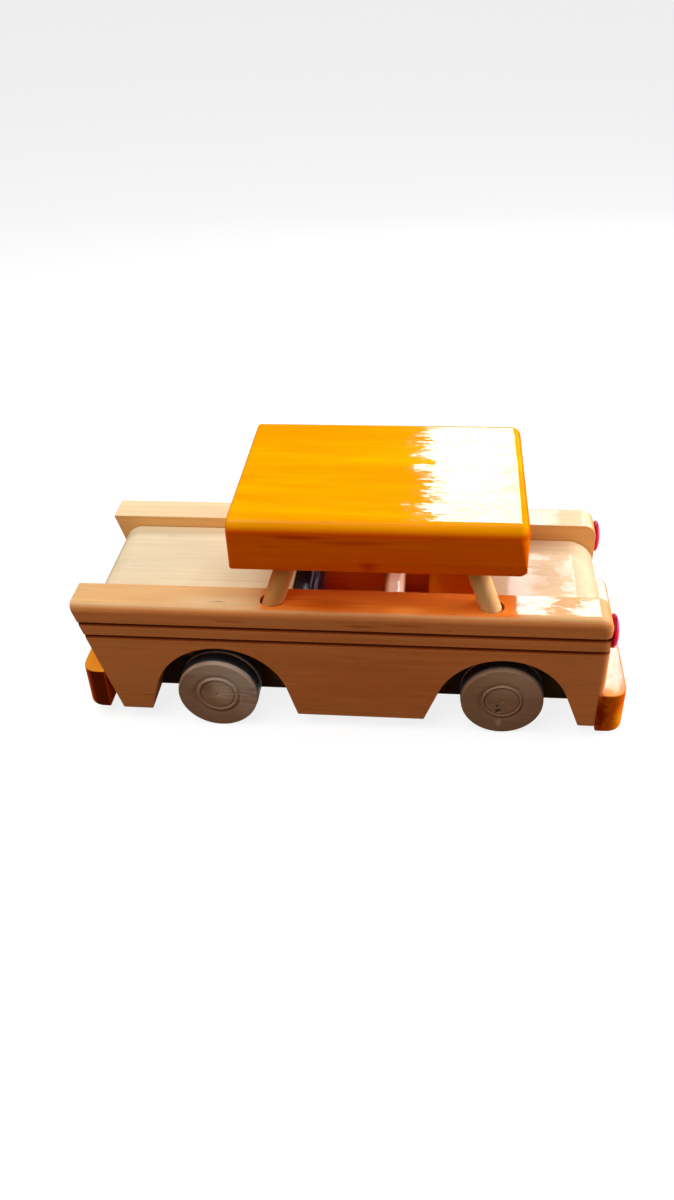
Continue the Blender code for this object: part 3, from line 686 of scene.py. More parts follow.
def marked(n, colour, marks_and_shading, fibre):
    """Knots, dark streaks and smears, and patches of painted light and shade, each an ellipsoid with a
    centre, a reach and a tint.
    """
    for centre, reach, tint in marks_and_shading:
        scale = [1 / r for r in reach]
        shift = [-c / r for c, r in zip(centre, reach)]
        nearby = n.stretched(n.place, scale, shift)
        away = n.add("ShaderNodeVectorMath", {0: nearby}, operation="LENGTH").outputs["Value"]
        frayed = n.math("ADD", away, n.span(fibre, *MARK_FRAY))
        colour = n.mix(n.span(frayed, *MARK_SPAN), colour, n.tinted(colour, tint))
    return colour


def wood(name, top, side, end, late, along="X", heart=(0.0, 0.05, -0.08), rings=0.35, gap=0.0034,
         roughness=0.45, gloss=0.25, gloss_roughness=0.06, ripple=0.05, comb=0.06,
         lean=0.0, crown=(0.45, 1.0), streak=0.25, gain=WHITE, inner=None, inward=0, saddle=None,
         marks_and_shading=()):
    """Solid wood: growth rings about a heart line, fibres, flecks and a varnish coat.

    top, side and end are the colours of faces that look up, sideways and along the grain;
    where side is darker and redder than top, that is partly the wood's tone and partly painted shade.
    late is the colour of the rings' dark lines, and gain the colour of the paler streaks.
    inner is the colour of a side face that looks inward, which is -1 or +1 along y.
    saddle is the cabin orange's colour, partly real staining and partly painted bounce light,
    and the two x it lies between, on the top and the inner face.
    The varnish lies thickest on the faces that look up.
    """
    n = Nodes(name)
    turned = n.stretched(n.place, (1, 1, 1), heart, GRAIN_TURNS[along])
    slow = n.stretched(turned, RING_STRETCH)
    ring = n.add(
        "ShaderNodeTexWave", {"Vector": slow}, {"Scale": WAVE_UNIT / gap, **RING_WAVE},
        wave_type="RINGS", rings_direction="X", wave_profile="SAW",
    ).outputs["Fac"]
    patch = n.span(n.noise(slow, PATCH_SCALE), *PATCH_SPAN)
    line = n.math("MULTIPLY", n.span(ring, *LINE_SPAN), patch)
    fibre = n.figure(turned, *FIBRE)
    fleck = n.span(n.figure(turned, *FLECK), *FLECK_SPAN)
    worn = n.figure(turned, *WEAR)

    upright = n.math("ABSOLUTE", n.facing["Z"])
    looks_in = n.math("MULTIPLY", n.facing["Y"], inward)
    if inner:
        side = n.mix(n.span(looks_in, *INNER_SPAN), side, inner)
    # Sides darker and redder than tops: partly the wood's tone, partly painted shade.
    colour = n.mix(n.span(upright, *crown), side, top)
    if along != "Z":
        end_on = n.math("ABSOLUTE", n.facing[along])
        colour = n.mix(n.span(end_on, *END_SPAN), colour, end)
    # Cabin orange: partly real staining, partly painted bounce light.
    if saddle:
        stain_and_bounce, low_x, high_x = saddle
        x = n.apart(n.place)["X"]
        starts = n.span(x, low_x, low_x + SADDLE_FADES[0])
        ends = n.span(x, high_x, high_x - SADDLE_FADES[1])
        looks = n.span(n.math("MAXIMUM", n.facing["Z"], looks_in), *SADDLE_SPAN)
        stain_and_bounce_share = n.math("MULTIPLY", n.math("MULTIPLY", starts, ends), looks)
        colour = n.mix(stain_and_bounce_share, colour, stain_and_bounce)
    colour = n.mix(n.math("MULTIPLY", line, rings), colour, n.tinted(colour, late))
    pale = n.math("MULTIPLY", n.span(n.figure(turned, *BAND), *BAND_SPAN), streak)
    colour = n.mix(pale, colour, n.tinted(colour, gain))
    colour = marked(n, colour, marks_and_shading, fibre)
    shade = n.math("MULTIPLY", n.span(fibre, *FIBRE_SHADE), n.span(fleck, *FLECK_SHADE))
    shade = n.math("MULTIPLY", shade, n.span(n.figure(turned, *CLOUD), *CLOUD_SHADE))
    grey = n.add("ShaderNodeCombineXYZ", {"X": shade, "Y": shade, "Z": shade}).outputs[0]
    n.link(n.tinted(colour, grey), "Base Color")

    smoothest, roughest = (roughness + swing for swing in ROUGHNESS_SWING)
    n.link(n.span(fibre, *FIBRE_SPAN, smoothest, roughest), "Roughness")
    raised = n.math("MULTIPLY", fibre, FIBRE_RELIEF)
    raised = n.math("ADD", raised, n.math("MULTIPLY", line, LINE_RELIEF))
    n.link(n.bump(n.math("SUBTRACT", raised, fleck), *RELIEF), "Normal")
    specks = n.math("MULTIPLY", n.noise(n.place, *SPECK), SPECK_SHARE)
    film = n.bump(n.math("ADD", n.figure(turned, *BRUSH), specks), ripple, FILM_DEPTH)
    n.link(combed(n, film, turned, along, worn, comb, lean), "Coat Normal")
    cover = n.span(upright, *VARNISH_SPAN, gloss * SIDE_GLOSS, gloss)
    n.link(n.math("MULTIPLY", cover, n.span(worn, *WEAR_SPAN)), "Coat Weight")
    n.set(Specular_IOR_Level=0.0, Coat_Roughness=gloss_roughness, Coat_IOR=VARNISH_IOR)
    return n.material


def natural_pine(word, side):
    """Side plate's pine, with the cabin's orange on its top and inner face from pillar to pillar: real
    staining and painted bounce light.
    """
    low_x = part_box("pillar_front_left")[0].x
    high_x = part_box("pillar_rear_left")[1].x + SADDLE_OVERRUN
    # The end colour, paler than the outer face, is painted light for the lit tail edge; the arch walls
    # take it too.
    return wood(
        f"pine_side_plate_{word}", top=PLATE_TOPS[word], side=PLATE_OUTER_FACE, end=(0.9, 0.38, 0.1),
        late=(0.8, 0.62, 0.45), heart=PLATE_HEARTS[word], rings=0.25, gap=0.0048, gloss=PLATE_GLOSS[word],
        comb=0.09, lean=-0.012, gain=(1.06, 1.1, 1.18), inner=PLATE_INNER_FACE, inward=-side,
        saddle=(SADDLE_STAIN_AND_BOUNCE, low_x, high_x), marks_and_shading=PLATE_MARKS_AND_SHADING[word],
    )


def groove_pine(word):
    """Darker finish in a side plate's grooves: staining gathered in them, and painted shade."""
    return wood(
        f"groove_side_plate_{word}", top=(0.34, 0.075, 0.014), side=(0.2, 0.036, 0.007),
        end=(0.42, 0.12, 0.03), late=(0.8, 0.7, 0.6), heart=PLATE_HEARTS[word], rings=0.2, gap=0.0048,
    )


def pale_pine(name, heart, top, gloss=0.5):
    return wood(
        name, top=top, side=(0.8, 0.56, 0.32), end=(0.8, 0.54, 0.3), late=(0.9, 0.8, 0.66),
        heart=heart, rings=0.2, gap=0.006, gloss=gloss, comb=0.09, lean=0.012, gain=(1.03, 1.04, 1.08),
    )


def orange_stain(name, heart, along="X", top=(0.99, 0.33, 0.0), side=(0.9, 0.11, 0.0),
                 end=(0.8, 0.12, 0.0), gloss=0.48, comb=0.12, ripple=0.05, marks_and_shading=()):
    return wood(
        name, top=top, side=side, end=end, late=(0.94, 0.8, 0.5), along=along,
        heart=heart, rings=0.12, gap=0.007, gloss=gloss, gloss_roughness=0.05,
        comb=comb, ripple=ripple, crown=(0.1, 0.7), streak=0.9, gain=(1.0, 1.42, 1.0), marks_and_shading=marks_and_shading,
    )


def dowel_wood(name, along, heart, colour=DOWEL_COLOUR):
    return wood(
        name, top=colour, side=colour, end=(0.62, 0.32, 0.12), late=(0.82, 0.66, 0.5), along=along,
        heart=heart, rings=0.3, gap=0.0022, gloss=0.12, gain=(1.05, 1.06, 1.1),
    )


def wheel_wood(name, heart, colour, marks_and_shading=()):
    return wood(
        name, top=colour, side=colour, end=colour, late=(0.8, 0.72, 0.64), heart=heart, rings=0.2,
        gap=0.0026, gloss=0.1, gloss_roughness=0.25, gain=(1.1, 1.12, 1.16), streak=0.4, marks_and_shading=marks_and_shading,
    )


def black_lacquer(name):
    """Black gloss with a painted blue-grey reflection in brush streaks where it looks to the rear."""
    n = Nodes(name)
    brush = n.figure(n.place, *LACQUER_BRUSH)
    grime = n.span(n.noise(n.place, *LACQUER_GRIME), *LACQUER_GRIME_SPAN)
    rearward = n.span(n.facing["X"], *LACQUER_REAR_SPAN)
    # Painted blue-grey reflection in brush streaks on the faces that look to the rear.
    stroke_and_sheen = n.math("MULTIPLY", n.span(brush, *LACQUER_REFLECTION_SPAN), rearward)
    n.link(n.mix(stroke_and_sheen, n.mix(grime, LACQUER_BLACK, LACQUER_GREY), LACQUER_REFLECTION_BLUE), "Base Color")
    n.link(n.span(brush, *LACQUER_ROUGHNESS), "Roughness")
    n.link(n.bump(brush, *LACQUER_RELIEF), "Normal")
    n.set(Specular_IOR_Level=0.15)
    return n.material


def tyre_rubber(name):
    n = Nodes(name)
    dust = n.noise(n.place, *RUBBER_DUST)
    n.link(n.mix(n.span(dust, *RUBBER_DUST_SPAN), RUBBER_BLACK, RUBBER_GREY), "Base Color")
    n.link(n.span(dust, *RUBBER_ROUGHNESS), "Roughness")
    n.link(n.bump(n.noise(n.place, *RUBBER_GRAIN), *RUBBER_RELIEF), "Normal")
    n.set(Specular_IOR_Level=0.4)
    return n.material


def red_lens(name):
    """Translucent red plastic, darker where it looks up: a painted dark reflection."""
    n = Nodes(name)
    cloud = n.noise(n.place, *LENS_CLOUD)
    red = n.mix(n.span(cloud, *LENS_CLOUD_SPAN), *LENS_REDS)
    n.link(n.mix(n.span(n.facing["Z"], *LENS_TOP_SPAN), red, LENS_SHADE), "Base Color")
    n.link(n.span(cloud, *LENS_ROUGHNESS), "Roughness")
    n.link(n.bump(cloud, *LENS_RELIEF), "Normal")
    n.set(Specular_IOR_Level=0.12, Coat_Weight=0.1, Coat_Roughness=0.05,
          Subsurface_Weight=1.0, Subsurface_Radius=(1.0, 0.05, 0.2), Subsurface_Scale=0.008)
    return n.material


# Wooden body


def arch_outline(row, x, sill_z):
    """Side view of a wheel arch: a round crown on straight legs that flare out to the sill."""
    radius = ARCH_RADII[row]
    flare = ARCH_FLARES[row]
    leg_height = ARCH_RISE + radius * math.sin(flare)
    half_mouth = radius * math.cos(flare) + leg_height * math.tan(flare)
    crown = arc((x, sill_z + ARCH_RISE), radius, math.pi - flare, flare, ARCH_STEPS)
    return [(x - half_mouth, sill_z), *crown, (x + half_mouth, sill_z)]


def plate_outline(low, high):
    """Side view of a plate: raked nose, two wheel arches and a rounded tail corner."""
    outline = [(low.x + NOSE_RAKE, low.z)]
    for row, axle in AXLES.items():
        outline += arch_outline(row, axle.x + ARCH_SETBACKS[row], low.z)
    outline.append((high.x, low.z))
    corner = (high.x - TAIL_CORNER_RADIUS, high.z - TAIL_CORNER_RADIUS)
    outline += arc(corner, TAIL_CORNER_RADIUS, 0, math.pi / 2, ROUND_STEPS)
    outline.append((low.x, high.z))
    return outline


def groove(cutter, low, high, side, z):
    """Round-bottomed groove along the outer face that bends round the tail edge and runs out."""
    outer = max(abs(low.y), abs(high.y)) + GROOVE_PROUD
    tail = high.x + GROOVE_PROUD
    path = [(low.x - PLATE_ROUND, outer)]
    path += arc((tail - PLATE_ROUND, outer - PLATE_ROUND), PLATE_ROUND, math.pi / 2, 0, ROUND_STEPS)
    path.append((tail + 2 * GROOVE_RADIUS, outer - PLATE_ROUND - GROOVE_RUNOUT))
    rings = [[cutter.verts.new((path[0][0], side * path[0][1], z))]]
    for i, (x, y) in enumerate(path):
        before = Vector(path[max(i - 1, 0)])
        after = Vector(path[min(i + 1, len(path) - 1)])
        run = (after - before).normalized()
        out = Vector((-run.y, run.x))
        spots = circle(GROOVE_RADIUS, GROOVE_SIDES)
        rings.append([
            cutter.verts.new((x + out.x * u, side * (y + out.y * u), z + v)) for u, v in spots
        ])
    rings.append([cutter.verts.new((path[-1][0], side * path[-1][1], z))])
    join_rings(cutter, rings, False)


def make_side_plate(word, side):
    """Board with arches, grooves, pin and pillar holes, and a seat for the rear bumper."""
    node = f"side_plate_{word}"
    low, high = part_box(node)
    outer = side * max(abs(low.y), abs(high.y))
    shape = prism(plate_outline(low, high), low.y, high.y, across)

    def outer_top_or_tail(a, b):
        on_face = edge_at(a, b, "y", outer)
        on_top = min(a.z, b.z) > high.z - TAIL_CORNER_RADIUS - TINY and not near(a.x, b.x)
        return on_face and (on_top or edge_at(a, b, "x", high.x))

    round_where(shape, outer_top_or_tail, PLATE_ROUND)
    ease_sharp(shape)
    cutter = bmesh.new()
    for drop in GROOVE_DROPS:
        groove(cutter, low, high, side, high.z - drop)
    for spot in ("bonnet", "boot", "sill_front", "sill_rear"):
        bore_for(f"pin_{spot}_{word}", cutter)
    for row in AXLES:
        foot, head = pillar_axis(row, word)
        along = (head - foot).normalized()
        away = Vector((-math.copysign(PILLAR_HOLE_SHIFT, along.x), 0, 0))
        middle = (foot + head) / 2
        rod(foot - along * GLUE_GAP + away, middle + away, PILLAR_RADIUS + PILLAR_HOLE_PLAY, cutter)
    lens_low, lens_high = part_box(f"tail_light_{word}")
    stem = (lens_low + lens_high) / 2
    reach = Vector((LENS_STEM_LENGTH, 0, 0))
    stem.x = high.x
    rod(stem - reach, stem + reach, LENS_STEM_RADIUS + GLUE_GAP, cutter)
    seat_low, seat_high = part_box("rear_bumper")
    clear = Vector((GLUE_GAP, GLUE_GAP, GLUE_GAP))
    block(cutter, seat_low - clear, seat_high + clear)
    bmesh.ops.recalc_face_normals(cutter, faces=cutter.faces)
    shape = carve(shape, cutter)
    for face in shape.faces:
        spot = face.calc_center_median()
        by_skin = abs(outer) - abs(spot.y) < 2 * GROOVE_RADIUS or high.x - spot.x < 2 * GROOVE_RADIUS
        in_groove = any(abs(high.z - drop - spot.z) < GROOVE_RADIUS for drop in GROOVE_DROPS)
        face.material_index = int(by_skin and in_groove)
    finish = [natural_pine(word, side), groove_pine(word)]
    piece(node + "_board", shape, node, finish)


def make_bonnet():
    """Block whose front follows the plates' rake under a rounded nose."""
    low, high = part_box("bonnet_block")
    plate_low, plate_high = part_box("side_plate_left")
    lean = math.atan2(NOSE_RAKE, plate_high.z - plate_low.z)
    tangent = BONNET_NOSE_RADIUS / math.tan((math.pi / 2 - lean) / 2)
    corner_x = plate_low.x + (plate_high.z - high.z) * math.tan(lean)
    foot_x = plate_low.x + (plate_high.z - low.z) * math.tan(lean)
    centre = (corner_x + tangent, high.z - BONNET_NOSE_RADIUS)
    outline = [(foot_x, low.z), (high.x, low.z), (high.x, high.z)]
    outline += arc(centre, BONNET_NOSE_RADIUS, math.pi / 2, math.pi + lean, 2 * ROUND_STEPS)
    finish = pale_pine("pale_bonnet_block", BONNET_HEART, BONNET_COLOUR)
    finish_block("bonnet_block", outline, low, high, "bonnet", finish)


def make_boot():
    """Block with a rounded tail."""
    low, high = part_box("boot_block")
    centre = (high.x - BOOT_TAIL_RADIUS, high.z - BOOT_TAIL_RADIUS)
    outline = [(low.x, low.z), (high.x, low.z)]
    outline += arc(centre, BOOT_TAIL_RADIUS, 0, math.pi / 2, 2 * ROUND_STEPS)
    outline.append((low.x, high.z))
    finish = pale_pine("pale_boot_block", BOOT_HEART, BOOT_COLOUR, BOOT_GLOSS)
    finish_block("boot_block", outline, low, high, "boot", finish)


def finish_block(node, outline, low, high, spot, finish):
    """Board across the car with its pin holes; spot is the word in its pins' names."""
    shape = prism(outline, low.y, high.y, across)
    ease_sharp(shape)
    shape = bored(shape, [f"pin_{spot}_{word}" for word in SIDES])
    piece(node + "_deck", shape, node, finish)


def make_chassis():
    low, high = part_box("chassis_board")
    shape = board(low, high)
    ease_sharp(shape)
    dowels = [f"axle_{row}" for row in AXLES]
    for word in SIDES:
        dowels += [f"pin_{at}_{row}_{word}" for at in ("sill", "bumper") for row in AXLES]
    # Near-black sides and ends: painted shade inside the wheel arches.
    finish = orange_stain(
        "stain_chassis", CHASSIS_HEART, side=CHASSIS_SHADED_SIDE, end=CHASSIS_SHADED_SIDE, gloss=CHASSIS_GLOSS,
    )
    piece("chassis_floor", bored(shape, dowels), "chassis_board", finish)


def make_fitting(node, name, rounded, radius, finish):
    """Board across the cabin with its front and rear top edges rounded where asked."""
    low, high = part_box(node)
    shape = board(low, high)
    edges = {"front": low.x, "rear": high.x}

    def top_edge(a, b):
        return edge_at(a, b, "z", high.z) and any(edge_at(a, b, "x", edges[w]) for w in rounded)

    round_where(shape, top_edge, radius)
    ease_sharp(shape)
    piece(name, shape, node, finish)


def make_cabin():
    make_fitting("dashboard", "dashboard_panel", ["rear"], DASH_ROUND,
                 black_lacquer("lacquer_dashboard"))
    make_fitting("front_seat_back", "front_seat_board", ["front", "rear"], SEAT_BACK_ROUND,
                 pale_pine("pale_seat_back", SEAT_BACK_HEART, SEAT_BACK_COLOUR))
    make_fitting("rear_seat", "rear_seat_block", ["front"], REAR_SEAT_ROUND,
                 orange_stain("stain_rear_seat", REAR_SEAT_HEART))


def make_roof():
    """Board with rounded edges, bored for the pillars."""
    low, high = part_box("roof")
    shape = board(low, high)

    def lower_tail(a, b):
        return edge_at(a, b, "x", high.x) and edge_at(a, b, "z", low.z)

    def long_top(a, b):
        return edge_at(a, b, "z", high.z) and near(a.y, b.y)

    def rim_at(x):
        def on_rim(a, b):
            lying_low = near(a.z, b.z) and a.z < low.z + ROOF_TAIL_ROUND + TINY
            return edge_at(a, b, "x", x) and not lying_low
        return on_rim

    round_where(shape, lower_tail, ROOF_TAIL_ROUND, FEW_STEPS)
    round_where(shape, long_top, ROOF_SIDE_ROUND)
    round_where(shape, rim_at(low.x), ROOF_FRONT_ROUND, FEW_STEPS)
    round_where(shape, rim_at(high.x), ROOF_REAR_ROUND)
    ease_sharp(shape)
    cutter = bmesh.new()
    for row in AXLES:
        for word in SIDES:
            foot, head = pillar_axis(row, word)
            along = (head - foot).normalized()
            rod((foot + head) / 2, head + along * GLUE_GAP, PILLAR_RADIUS + GLUE_GAP, cutter)
    finish = orange_stain("stain_roof", ROOF_HEART, marks_and_shading=ROOF_MARKS)
    piece("roof_board", carve(shape, cutter), "roof", finish)


def make_dowel(node, start, end, radius, finish):
    shape = rod(start, end, radius, ease=EASED_EDGE)
    piece(node + "_dowel", shape, node, finish, weighted=False)


def make_pillars():
    for row in AXLES:
        for word in SIDES:
            node = f"pillar_{row}_{word}"
            finish = dowel_wood(f"dowel_{node}", "Z", PILLAR_HEARTS[word], PILLAR_COLOURS[row])
            make_dowel(node, *pillar_axis(row, word), PILLAR_RADIUS, finish)


def make_bumper(row, outward):
    """Full-width block with rounded outer corners; outward is -1 at the nose, +1 at the tail."""
    node = f"{row}_bumper"
    low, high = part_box(node)
    flat_x, edge_x = (low.x, high.x) if outward > 0 else (high.x, low.x)
    inset_x = edge_x - outward * BUMPER_CORNER_RADIUS
    outline = [(flat_x, low.y)]
    for side in (-1, 1):
        turn = arc((0, 0), BUMPER_CORNER_RADIUS, 0, math.pi / 2, ROUND_STEPS)
        inset_y = high.y - BUMPER_CORNER_RADIUS
        corner = [(inset_x + outward * u, side * (inset_y + v)) for u, v in turn]
        outline += corner[::-1] if side < 0 else corner
    outline.append((flat_x, high.y))
    shape = prism(outline, low.z, high.z, upward)
    ease_sharp(shape, BUMPER_EDGE, BUMPER_EDGE_STEPS)
    shape = bored(shape, [f"pin_bumper_{row}_{word}" for word in SIDES])
    finish = orange_stain(
        f"stain_{node}", BUMPER_HEARTS[row], along="Y", top=BUMPER_TOPS[row], end=BUMPER_ENDS[row],
        gloss=BUMPER_GLOSS[row], comb=0.0, ripple=BUMPER_RIPPLE, marks_and_shading=BUMPER_SHADE_AND_HIGHLIGHT[row],
    )
    piece(node + "_block", shape, node, finish)


def make_tail_light(word, finish):
    """Domed lens on a stem."""
    node = f"tail_light_{word}"
    low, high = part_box(node)
    radius = (high.z - low.z) / 2
    seat = (low + high) / 2
    seat.x = low.x + LENS_STEM_LENGTH
    rise = high.x - seat.x - LENS_RIM
    profile = [(0, LENS_RIM + rise)]
    for i in range(1, DOME_STEPS + 1):
        turn = math.pi / 2 * (1 - i / DOME_STEPS)
        profile.append((radius * math.cos(turn), LENS_RIM + rise * math.sin(turn)))
    profile += [(radius, EASED_EDGE), (radius - EASED_EDGE, 0), (LENS_STEM_RADIUS, 0)]
    profile += [(LENS_STEM_RADIUS, -LENS_STEM_LENGTH), (0, -LENS_STEM_LENGTH)]
    shape = lathe(profile, along_line(seat, seat + Vector((1, 0, 0))))
    piece(node + "_lens", shape, node, finish, weighted=False)


# Wheels


def wheel_profile(radius, width, axle_radius, boss, bead):
    """Half section of a wheel, from the face's centre round the tread to the axle socket."""
    rim = radius - TYRE_PROUD
    bed = radius - TYRE_THICKNESS - GLUE_GAP
    outer_bed = width - RIM_WIDTH
    ridge_top = outer_bed - OUTER_BAND_WIDTH
    ridge_bottom = ridge_top - RIDGE_WIDTH
    plate = width - HUB_PLATE_DEPTH
    socket = axle_radius + GLUE_GAP
    eased = rim - TURNED_EDGE
    valley = width - BEAD_VALLEY
    outer_valley = BEAD_INNER_RADIUS + 2 * bead
    profile = [
        (0, plate - HUB_DIMPLE_DEPTH), (DIMPLE_SHOULDER_RADIUS, plate - DIMPLE_SHOULDER_DEPTH),
        (HUB_DIMPLE_RADIUS, plate), (HUB_PLATE_RADIUS - HUB_PLATE_EDGE, plate),
        (HUB_PLATE_RADIUS, plate - HUB_PLATE_EDGE), (BEAD_INNER_RADIUS - VALLEY_INNER_FLAT, valley),
    ]
    for i in range(BEAD_STEPS + 1):
        turn = math.pi * (1 - i / BEAD_STEPS)
        crest = BEAD_INNER_RADIUS + bead + bead * math.cos(turn)
        profile.append((crest, valley + BEAD_VALLEY * math.sin(turn)))
    profile.append((outer_valley + VALLEY_OUTER_FLAT, valley))
    for i in range(ROUND_STEPS + 1):
        share = i / ROUND_STEPS
        sink = DISH_DEPTH + (BEAD_VALLEY - DISH_DEPTH) * (1 - share) ** 2
        profile.append((outer_valley + COVE_START + COVE_WIDTH * share, width - sink))
    profile += arc((rim - RIM_ROUND, width - RIM_ROUND), RIM_ROUND, math.pi / 2, 0, ROUND_STEPS)
    profile += [
        (rim, outer_bed), (bed, outer_bed), (bed, ridge_top), (eased, ridge_top),
        (rim, ridge_top - TURNED_EDGE), (rim, ridge_bottom + TURNED_EDGE), (eased, ridge_bottom),
        (bed, ridge_bottom), (bed, BACK_FLANGE_WIDTH), (rim, BACK_FLANGE_WIDTH), (rim, TURNED_EDGE),
        (eased, 0), (HUB_BOSS_RADIUS, 0), (HUB_BOSS_RADIUS, -boss), (socket, -boss),
        (socket, AXLE_SOCKET_DEPTH - boss), (0, AXLE_SOCKET_DEPTH - boss),
    ]
    return profile


def make_wheel(row, word, side):
    """Turned wheel with a pale ridge between its bands, and nail holes in one of the four."""
    node = f"wheel_{row}_{word}"
    low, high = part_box(node)
    axle_radius = node_axis(f"axle_{row}")[2]
    radius = AXLES[row].z
    boss = HUB_BOSS_HEIGHTS[row]
    width = high.y - low.y - boss
    back = min(abs(low.y), abs(high.y)) + boss
    axis = Vector((0, side, 0))
    back_point = Vector((AXLES[row].x, side * back, AXLES[row].z))
    profile = wheel_profile(radius, width, axle_radius, boss, BEAD_HALF_WIDTHS[row])
    shape = lathe(profile, along_line(back_point, back_point + axis))
    if node == "wheel_rear_left":
        drill = bmesh.new()
        for x, z, hole_radius in NAIL_HOLES:
            spot = back_point + axis * (width - NAIL_HOLE_DEPTH) + Vector((x, 0, z))
            rod(spot, spot + axis * 2 * NAIL_HOLE_DEPTH, hole_radius, drill)
        shape = carve(shape, drill)
    ridge_top = width - RIM_WIDTH - OUTER_BAND_WIDTH
    for face in shape.faces:
        spot = face.calc_center_median() - back_point
        on_ridge = ridge_top - RIDGE_WIDTH - TINY < spot.dot(axis) < ridge_top + TINY
        on_tread = math.hypot(spot.x, spot.z) > radius - TYRE_THICKNESS
        face.material_index = int(on_ridge and on_tread)
    heart = (WHEEL_HEART.x * side, WHEEL_HEART.y, WHEEL_HEART.z + AXLES[row].x)
    face_point = back_point + axis * width
    marks_and_shading = [(face_point + Vector(shift), reach, tint) for shift, reach, tint in WHEEL_MARKS_AND_SHADING[row]]
    finish = [
        wheel_wood(f"turned_{node}", heart, WHEEL_COLOUR, marks_and_shading),
        wheel_wood(f"ridge_{node}", heart, RIDGE_COLOUR),
    ]
    piece(node + "_turned", shape, node, finish, weighted=False)


def make_tyre(row, word, side, layer, finish):
    """Rubber band with soft edges."""
    node = f"tyre_{layer}_{row}_{word}"
    low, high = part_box(node)
    outer = AXLES[row].z
    inner = outer - TYRE_THICKNESS
    width = high.y - low.y
    start = Vector((AXLES[row].x, side * min(abs(low.y), abs(high.y)), AXLES[row].z))
    shoulder = outer - TYRE_EDGE
    profile = arc((shoulder, width - TYRE_EDGE), TYRE_EDGE, math.pi / 2, 0, FEW_STEPS)
    profile += arc((shoulder, TYRE_EDGE), TYRE_EDGE, 0, -math.pi / 2, FEW_STEPS)
    profile += [(inner, 0), (inner, width)]
    shape = lathe(profile, along_line(start, start + Vector((0, side, 0))), closed=True)
    piece(node + "_band", shape, node, finish, weighted=False)


def make_axles():
    for row in AXLES:
        node = f"axle_{row}"
        finish = dowel_wood(f"dowel_{node}", "Y", (*AXLE_HEART, AXLES[row].x))
        make_dowel(node, *node_axis(node), finish)


def dress_pins():
    """The hidden pins keep their frame shape and get a dowel finish."""
    finish = dowel_wood("dowel_pins", "Y", PIN_HEART)
    for name, node in frame["nodes"].items():
        if name.startswith("pin_"):
            node.data.materials.clear()
            node.data.materials.append(finish)


# Camera, light and stage


def make_camera():
    """Camera of the photograph, which looks across the car and down."""
    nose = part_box("side_plate_left")[0]
    place = Vector((nose.x, 0, nose.z)) + CAMERA_FROM_NOSE
    yaw = Matrix.Rotation(-CAMERA_YAW, 4, "Z")
    pitch = Matrix.Rotation(math.pi / 2 - CAMERA_PITCH, 4, "X")
    roll = Matrix.Rotation(CAMERA_ROLL, 4, "Z")
    lens = bpy.data.cameras.new("photo_camera")
    lens.sensor_fit = "VERTICAL"
    lens.sensor_height = SENSOR_MM
    lens.lens = FOCAL_PX * SENSOR_MM / PHOTO_HEIGHT_PX
    lens.clip_start = CAMERA_CLIP
    camera = add_object("photo_camera", lens)
    camera.matrix_world = Matrix.Translation(place) @ yaw @ pitch @ roll
    bpy.context.scene.camera = camera


def softbox(name, place, target, width, height, radiance, colour):
    """Rectangular lamp whose face has the given brightness."""
    lamp = bpy.data.lights.new(name, "AREA")
    lamp.shape = "RECTANGLE"
    lamp.size = width
    lamp.size_y = height
    lamp.energy = radiance * math.pi * width * height
    lamp.color = colour
    holder = add_object(name, lamp)
    holder.location = place
    holder.rotation_euler = (Vector(target) - Vector(place)).to_track_quat("-Z", "Y").to_euler()


def make_light():
    """A paned window behind the car, one at its tail and a soft overhead light."""
    for i, (low_x, high_x) in enumerate(WINDOW_COLUMNS):
        for j, (low_z, high_z) in enumerate(WINDOW_ROWS):
            middle = Vector(((low_x + high_x) / 2, WINDOW_Y, (low_z + high_z) / 2))
            softbox(f"window_pane_{i}_{j}", middle, middle - Vector((0, 1, 0)), high_x - low_x,
                    high_z - low_z, WINDOW_RADIANCE, SKYLIGHT)
    softbox("tail_window", **TAIL_WINDOW)
    softbox("overhead_box", **OVERHEAD_BOX)


def make_wall():
    """Dim wall round the window that only mirrored views show, as a dark for the varnish to reflect."""
    shape = bmesh.new()
    block(shape, WALL_LOW, WALL_HIGH)
    wall = add_object("window_wall", to_mesh(shape, "window_wall"))
    wall.data.materials.append(wood(
        "wall_boards", top=WALL_COLOUR, side=WALL_COLOUR, end=WALL_COLOUR, late=(0.8, 0.8, 0.8), gloss=0.0,
    ))
    wall.visible_camera = False
    wall.visible_diffuse = False
    wall.visible_shadow = False


def bare_tree(owner):
    owner.use_nodes = True
    owner.node_tree.nodes.clear()
    return owner.node_tree


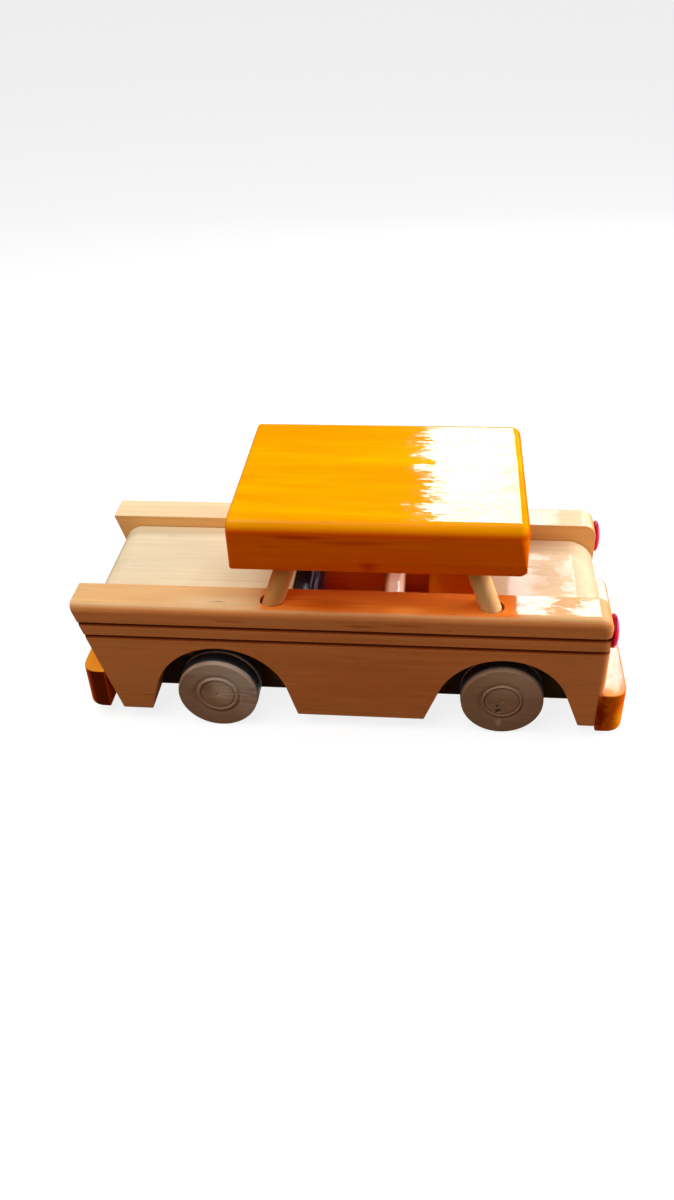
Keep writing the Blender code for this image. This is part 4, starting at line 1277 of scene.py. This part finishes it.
def lit_and_seen(tree, lit, seen, output):
    """One shader lights the car, and another shows in straight, mirrored and refracted views."""
    path = add_node(tree, "ShaderNodeLightPath").outputs
    looks = path["Is Camera Ray"]
    for ray in ("Is Glossy Ray", "Is Transmission Ray"):
        either = add_node(tree, "ShaderNodeMath", {0: looks, 1: path[ray]}, operation="MAXIMUM")
        looks = either.outputs[0]
    shaders = {0: looks, 1: lit.outputs[0], 2: seen.outputs[0]}
    blend = add_node(tree, "ShaderNodeMixShader", shaders)
    add_node(tree, output, {0: blend.outputs[0]})


def make_world():
    """Dim warm room that looks white."""
    world = bpy.data.worlds.new("white_studio")
    bpy.context.scene.world = world
    tree = bare_tree(world)
    kind = "ShaderNodeBackground"
    room = add_node(tree, kind, values={"Color": (*ROOM_COLOUR, 1), "Strength": ROOM_STRENGTH})
    white = add_node(tree, kind, values={"Color": (*WHITE, 1), "Strength": 1.0})
    lit_and_seen(tree, room, white, "ShaderNodeOutputWorld")


def make_floor():
    """Pale floor that reads as white and keeps the car's shadow."""
    shape = bmesh.new()
    bmesh.ops.create_grid(shape, x_segments=1, y_segments=1, size=FLOOR_HALF_SIZE)
    floor = add_object("studio_floor", to_mesh(shape, "studio_floor"))
    material = bpy.data.materials.new("studio_floor")
    tree = bare_tree(material)
    bounce = add_node(tree, "ShaderNodeBsdfDiffuse", values={"Color": (*FLOOR_BOUNCE, 1)})
    paper = add_node(tree, "ShaderNodeBsdfDiffuse", values={"Color": (*FLOOR_PAPER, 1)})
    glow = add_node(tree, "ShaderNodeEmission", values={"Color": (*WHITE, 1), "Strength": FLOOR_GLOW})
    white = add_node(tree, "ShaderNodeAddShader", {0: paper.outputs[0], 1: glow.outputs[0]})
    lit_and_seen(tree, bounce, white, "ShaderNodeOutputMaterial")
    floor.data.materials.append(material)


def make_car():
    for word, side in SIDES.items():
        make_side_plate(word, side)
    make_bonnet()
    make_boot()
    make_chassis()
    make_cabin()
    make_roof()
    make_pillars()
    make_bumper("front", -1)
    make_bumper("rear", 1)
    lens = red_lens("red_dome")
    rubber = tyre_rubber("black_rubber")
    for word, side in SIDES.items():
        make_tail_light(word, lens)
        for row in AXLES:
            make_wheel(row, word, side)
            for layer in ("outer", "inner"):
                make_tyre(row, word, side, layer, rubber)
    make_axles()
    dress_pins()


make_camera()
make_light()
make_world()
make_floor()
make_wall()
make_car()
bpy.context.scene.view_settings.view_transform = "Standard"
